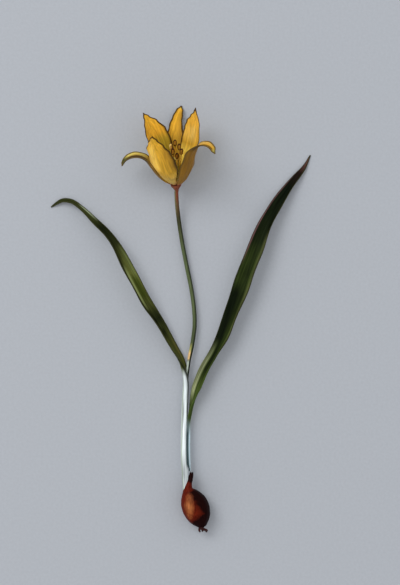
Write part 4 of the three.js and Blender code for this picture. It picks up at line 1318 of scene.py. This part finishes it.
class TULIP_OT_tepals(bpy.types.Operator):
    """Makes the three inner and three outer tepals"""

    bl_idname = "tulip.tepals"
    bl_label = "Tepals"

    def execute(self, context):
        flower = context.scene.tulip_flower
        yellow, ochre, brown, margin = tones_of(flower, "yellow", "ochre", "back_brown", "margin_brown")
        orange, dull, red, olive = (linear(code) for code in ("#ffc54c", "#d2b05a", "#a35a39", "#46562a"))
        face = run_between(
            ochre, yellow, [(0.0, 0), (0.3, 0.1), (0.55, 0.3), (0.68, 0.9), (0.85, 1), (0.95, 0.8)])
        inner_back = [(0.0, red), (0.05, blend(red, dull, 0.6)), (0.12, dull)] + run_between(
            ochre, yellow, [(0.35, 0.5), (0.6, 0.8), (0.85, 1.0), (1.0, 0.4)])
        outer_back = [(0.0, red), (0.07, brown), (0.6, brown), (0.85, blend(brown, olive, 0.5)), (1.0, olive)]
        everywhere = [(0.0, 1), (1.0, 1)]
        # Of each tepal: the colours of its tip and margin, its back, and its patches, of which a few are
        # painted light and shade.
        looks = {
            "inner_front": (brown, margin, inner_back, [
                # The pale lengthwise streak is a painted highlight.
                ("#ffcb55", plateau(0.35, 0.45, 0.75, 0.9), [(0.48, 0), (0.6, 1), (0.74, 1), (0.88, 0.2)]),
                (brown, plateau(0.1, 0.2, 0.45, 0.6, 0.8), [(0.86, 0), (0.95, 1)]),
                (brown, plateau(0.3, 0.45, 0.7, 0.85, 0.6), [(0.15, 1), (0.35, 0)]),
                (margin, plateau(0.3, 0.4, 0.9, 1.0, 0.9), [(0.04, 1), (0.12, 0)])]),
            "inner_left": (margin, margin, inner_back, [
                ("#a0932c", [(0.3, 1), (0.58, 0.85), (0.68, 0)], [(0.1, 0.9), (0.75, 0.7)]),
                (margin, plateau(0.3, 0.4, 0.9, 1.0, 0.9), [(0.9, 0), (0.97, 1)])]),
            "inner_right": (linear("#4a2a22"), margin, inner_back, [
                # This pale lower part is painted light, laid where the anthers and the outer tepal shade it.
                ("#ffdc5c", plateau(0.08, 0.18, 0.4, 0.5, 0.9), everywhere),
                ("#f6d06c", plateau(0.5, 0.6, 0.7, 0.8, 0.7), [(0.15, 0.5), (0.4, 1), (0.7, 0)]),
                (orange, [(0.72, 0), (0.8, 0.8), (0.9, 0.5), (0.96, 0)], [(0.2, 1), (0.8, 0.5)]),
                ("#4a3236", [(0.93, 0), (0.97, 1), (1.0, 1)], everywhere),
                (margin, plateau(0.3, 0.4, 0.9, 1.0, 0.9), [(0.9, 0), (0.97, 1)])]),
            "outer_left": (olive, linear("#6d5626"), outer_back, [
                ("#a28c3c", [(0.73, 0), (0.81, 1), (1.0, 1)], everywhere),
                ("#d8c468", plateau(0.5, 0.6, 0.88, 0.94, 0.9), [(0.5, 0), (0.8, 1)]),
                (margin, plateau(0.45, 0.55, 0.88, 0.94), [(0.58, 1), (0.76, 0)]),
                ("#3f4c26", [(0.84, 0), (0.92, 1), (1.0, 1)], everywhere)]),
            "outer_right": (linear("#8f9a4a"), linear("#6d5626"), outer_back, [
                ("#c2a25e", plateau(0.6, 0.7, 0.9, 0.95, 0.6), [(0.2, 1), (0.5, 0)]),
                (margin, plateau(0.6, 0.68, 0.92, 0.96, 0.8), [(0.4, 0), (0.6, 1)]),
                ("#a3a052", [(0.92, 0), (0.97, 1), (1.0, 1)], everywhere)]),
            "outer_back": (linear("#b5ad52"), margin, outer_back, [
                # The brown on its right side is painted shade.
                (brown, plateau(0.4, 0.6, 0.9, 1.0, 0.6), [(0.5, 0), (0.8, 1)]),
                (margin, plateau(0.5, 0.6, 0.9, 1.0, 0.9), [(0.86, 0), (0.95, 1)])]),
        }
        veins = vein_tree()
        for order, (name, (turn, sway, cup, width, form, line)) in enumerate(TEPALS.items()):
            tip, edge, back, patches = looks[name]
            skin = silky_petal(f"silky_{name}_tepal", face + [(1.0, tip)], back, patches, edge)
            stations = tepal_stations(turn, sway, cup, width, form, line)
            piece = blade_piece(
                f"petal_{name}", stations, TEPAL_THICKNESS, TEPAL_COLUMNS, FLOWER_FRAME,
                tepal_wave(flower.margin_wave, 1.7 * order),
            )
            run_tree(piece, veins, {
                "Vein Count": flower.veins,
                "Vein Height": flower.vein_height,
                "Midrib Height": flower.midrib_height,
                "Midrib Share": 0.06,
                "Finish": skin,
            })
            settle(piece, "tepal", f"tepal_{name}")
        return {"FINISHED"}


class TULIP_OT_stamens(bpy.types.Operator):
    """Makes the six stamens: filaments with hairs at their feet, and anthers dusted with pollen"""

    bl_idname = "tulip.stamens"
    bl_label = "Stamens"

    def execute(self, context):
        flower = context.scene.tulip_flower
        tissue = moist_tissue("filament_tissue", linear("#7a8030"), linear("#d8a93c"))
        # Each wall runs from dark brown where it faces down to golden where it faces up: painted shade on the
        # sides and painted light on top, under the pollen strewn there. The paler wall of one anther is a
        # painted highlight.
        walls = [
            moist_tissue(f"anther_wall_{name}", linear("#43200c"), linear(tone), 0.7, band)
            for name, tone, band in (("brown", "#b8842e", (0.55, 0.85)), ("pale", "#ffdc7c", (0.25, 0.65)))
        ]
        pollen = powdery_pollen(linear("#d49a34"))
        hair = moist_tissue("filament_hair", linear("#e8d9a0"), linear("#e8d9a0"))
        rods, grains = rod_tree(), grain_tree()
        for number, (turn, radius, height) in enumerate(STAMENS, 1):
            line = filament_line(turn, radius, height)
            shares = np.linspace(0, 1, 60)
            path = moved(HEART_FRAME, spline(line, shares))
            radii = FILAMENT_RADIUS * (1.15 - 0.3 * shares)
            stalk = path_piece(f"filament_{number}_stalk", [path], [radii])
            run_tree(stalk, rods, {
                "Sides": 16, "Bump Height": 0.04 * MM, "Bump Size": 0.8 * MM, "Finish": tissue,
            })
            run_tree(stalk, grains, {
                "Grains per Square Millimetre": 9.0,
                "Grain Radius": HAIR_RADIUS * MM,
                "Slenderness": flower.hair_length / 2 / (HAIR_RADIUS * MM),
                "Tilt": 0.5,
                "Lowest Share": 0.02,
                "Highest Share": 0.28,
                "Seed": number,
                "Finish": hair,
            })
            settle(stalk, "filament", f"filament_{number}")
            corners, faces, upward = anther_mesh(line)
            sacs = mesh_piece(
                f"anther_{number}_sacs", corners, faces, walls[number == HIGHLIGHTED_ANTHER], {"along": upward},
            )
            run_tree(sacs, grains, {
                "Grains per Square Millimetre": 26.0,
                "Grain Radius": flower.pollen_radius,
                "Slenderness": 1.0,
                "Lowest Share": 0.7,
                "Highest Share": 1.0,
                "Seed": 20 + number,
                "Finish": pollen,
            })
            settle(sacs, "anther", f"anther_{number}")
        return {"FINISHED"}


class TULIP_OT_pistil(bpy.types.Operator):
    """Makes the three-sided ovary and the three-lobed stigma on it"""

    bl_idname = "tulip.pistil"
    bl_label = "Pistil"

    def execute(self, context):
        green = moist_tissue("ovary_skin", linear("#8f9a3c"), linear("#b9b04c"))
        crest = moist_tissue("stigma_skin", linear("#c9b85a"), linear("#e2cc6c"), 0.65)
        angles = turns(48)
        shares = np.linspace(0, 1, 60)
        heights, reach = spline([(h, r, 0) for h, r in OVARY], shares)[:, :2].T
        groove = np.exp(-((np.cos(1.5 * angles) / 0.2) ** 2))
        body = reach[:, None] * (1 + 0.12 * np.cos(3 * angles) - 0.05 * groove)
        settle(heart_piece("ovary_body", heights, body, shares, green), "pistil", "ovary")

        rise = domed(36)
        shrink = np.sqrt(np.maximum(1 - rise**2, 0)) + 0.01
        lobes = np.abs(np.cos(1.5 * (angles - math.pi / 3))) ** 1.4
        between, full = STIGMA_REACH
        outline = between + (full - between) * lobes
        heights = STIGMA_FOOT + SEAT_GAP + STIGMA_HALF_HEIGHT * (1 + rise)
        stigma = heart_piece("stigma_lobes", heights, shrink[:, None] * outline, (rise + 1) / 2, crest)
        run_tree(stigma, grain_tree(), {
            "Grains per Square Millimetre": 30.0,
            "Grain Radius": 0.05 * MM,
            "Slenderness": 2.2,
            "Lowest Share": 0.3,
            "Seed": 5,
            "Finish": crest,
        })
        settle(stigma, "pistil", "stigma")
        return {"FINISHED"}


class TULIP_OT_stage(bpy.types.Operator):
    """Makes the pale floor, the soft studio light and the camera that looks down on the plant"""

    bl_idname = "tulip.stage"
    bl_label = "Stage"

    def execute(self, context):
        stage = context.scene.tulip_stage
        half = FLOOR_HALF
        corners = [(-half, -half, 0), (half, -half, 0), (half, half, 0), (-half, half, 0)]
        floor = mesh_piece("floor", corners, [(0, 1, 2, 3)], matt_paper(tuple(stage.floor_tone)))

        world = bpy.data.worlds.new("room")
        world.use_nodes = True
        sky = world.node_tree.nodes["Background"]
        sky.inputs["Color"].default_value = linear("#ecedef")
        sky.inputs["Strength"].default_value = stage.sky_strength
        context.scene.world = world
        context.scene.view_settings.view_transform = "Standard"

        lamp = bpy.data.lights.new("key_light", "AREA")
        lamp.shape = "DISK"
        lamp.size = LAMP["size"]
        lamp.energy = stage.key_power
        key = placed("key_light", lamp, LAMP["place"])
        key.rotation_euler = (Vector(LAMP["aims_at"]) - key.location).to_track_quat("-Z", "Y").to_euler()

        eye = bpy.data.cameras.new("camera")
        eye.lens = CAMERA["lens"]
        eye.clip_start = CAMERA["clip_start"]
        context.scene.camera = placed("camera", eye, CAMERA["place"])
        return {"FINISHED"}


class TULIP_PT_sidebar(bpy.types.Panel):
    """Lists what the add-on makes, with its settings"""

    bl_idname = "TULIP_PT_sidebar"
    bl_label = "Wild Tulip Plant"
    bl_space_type = "VIEW_3D"
    bl_region_type = "UI"
    bl_category = "Tulip"

    def draw(self, context):
        for operator in OPERATORS:
            self.layout.operator(operator.bl_idname)
        for slot, settings in SETTINGS.items():
            box = self.layout.box()
            box.label(text=slot.replace("_", " ").capitalize())
            for key in settings.__annotations__:
                box.prop(getattr(context.scene, slot), key)


OPERATORS = (
    TULIP_OT_stage, TULIP_OT_bulb, TULIP_OT_roots, TULIP_OT_stem, TULIP_OT_leaves, TULIP_OT_tepals,
    TULIP_OT_stamens, TULIP_OT_pistil,
)
SETTINGS = {
    "tulip_bulb": TulipBulbSettings,
    "tulip_leaf": TulipLeafSettings,
    "tulip_flower": TulipFlowerSettings,
    "tulip_stage": TulipStageSettings,
}


def register():
    for member in (*SETTINGS.values(), *OPERATORS, TULIP_PT_sidebar):
        bpy.utils.register_class(member)
    for slot, settings in SETTINGS.items():
        setattr(bpy.types.Scene, slot, PointerProperty(type=settings))


def unregister():
    for slot in SETTINGS:
        delattr(bpy.types.Scene, slot)
    for member in (TULIP_PT_sidebar, *reversed(OPERATORS), *reversed(SETTINGS.values())):
        bpy.utils.unregister_class(member)


def main():
    register()
    for operator in OPERATORS:
        group, name = operator.bl_idname.split(".")
        getattr(getattr(bpy.ops, group), name)()


if __name__ == "__main__":
    main()
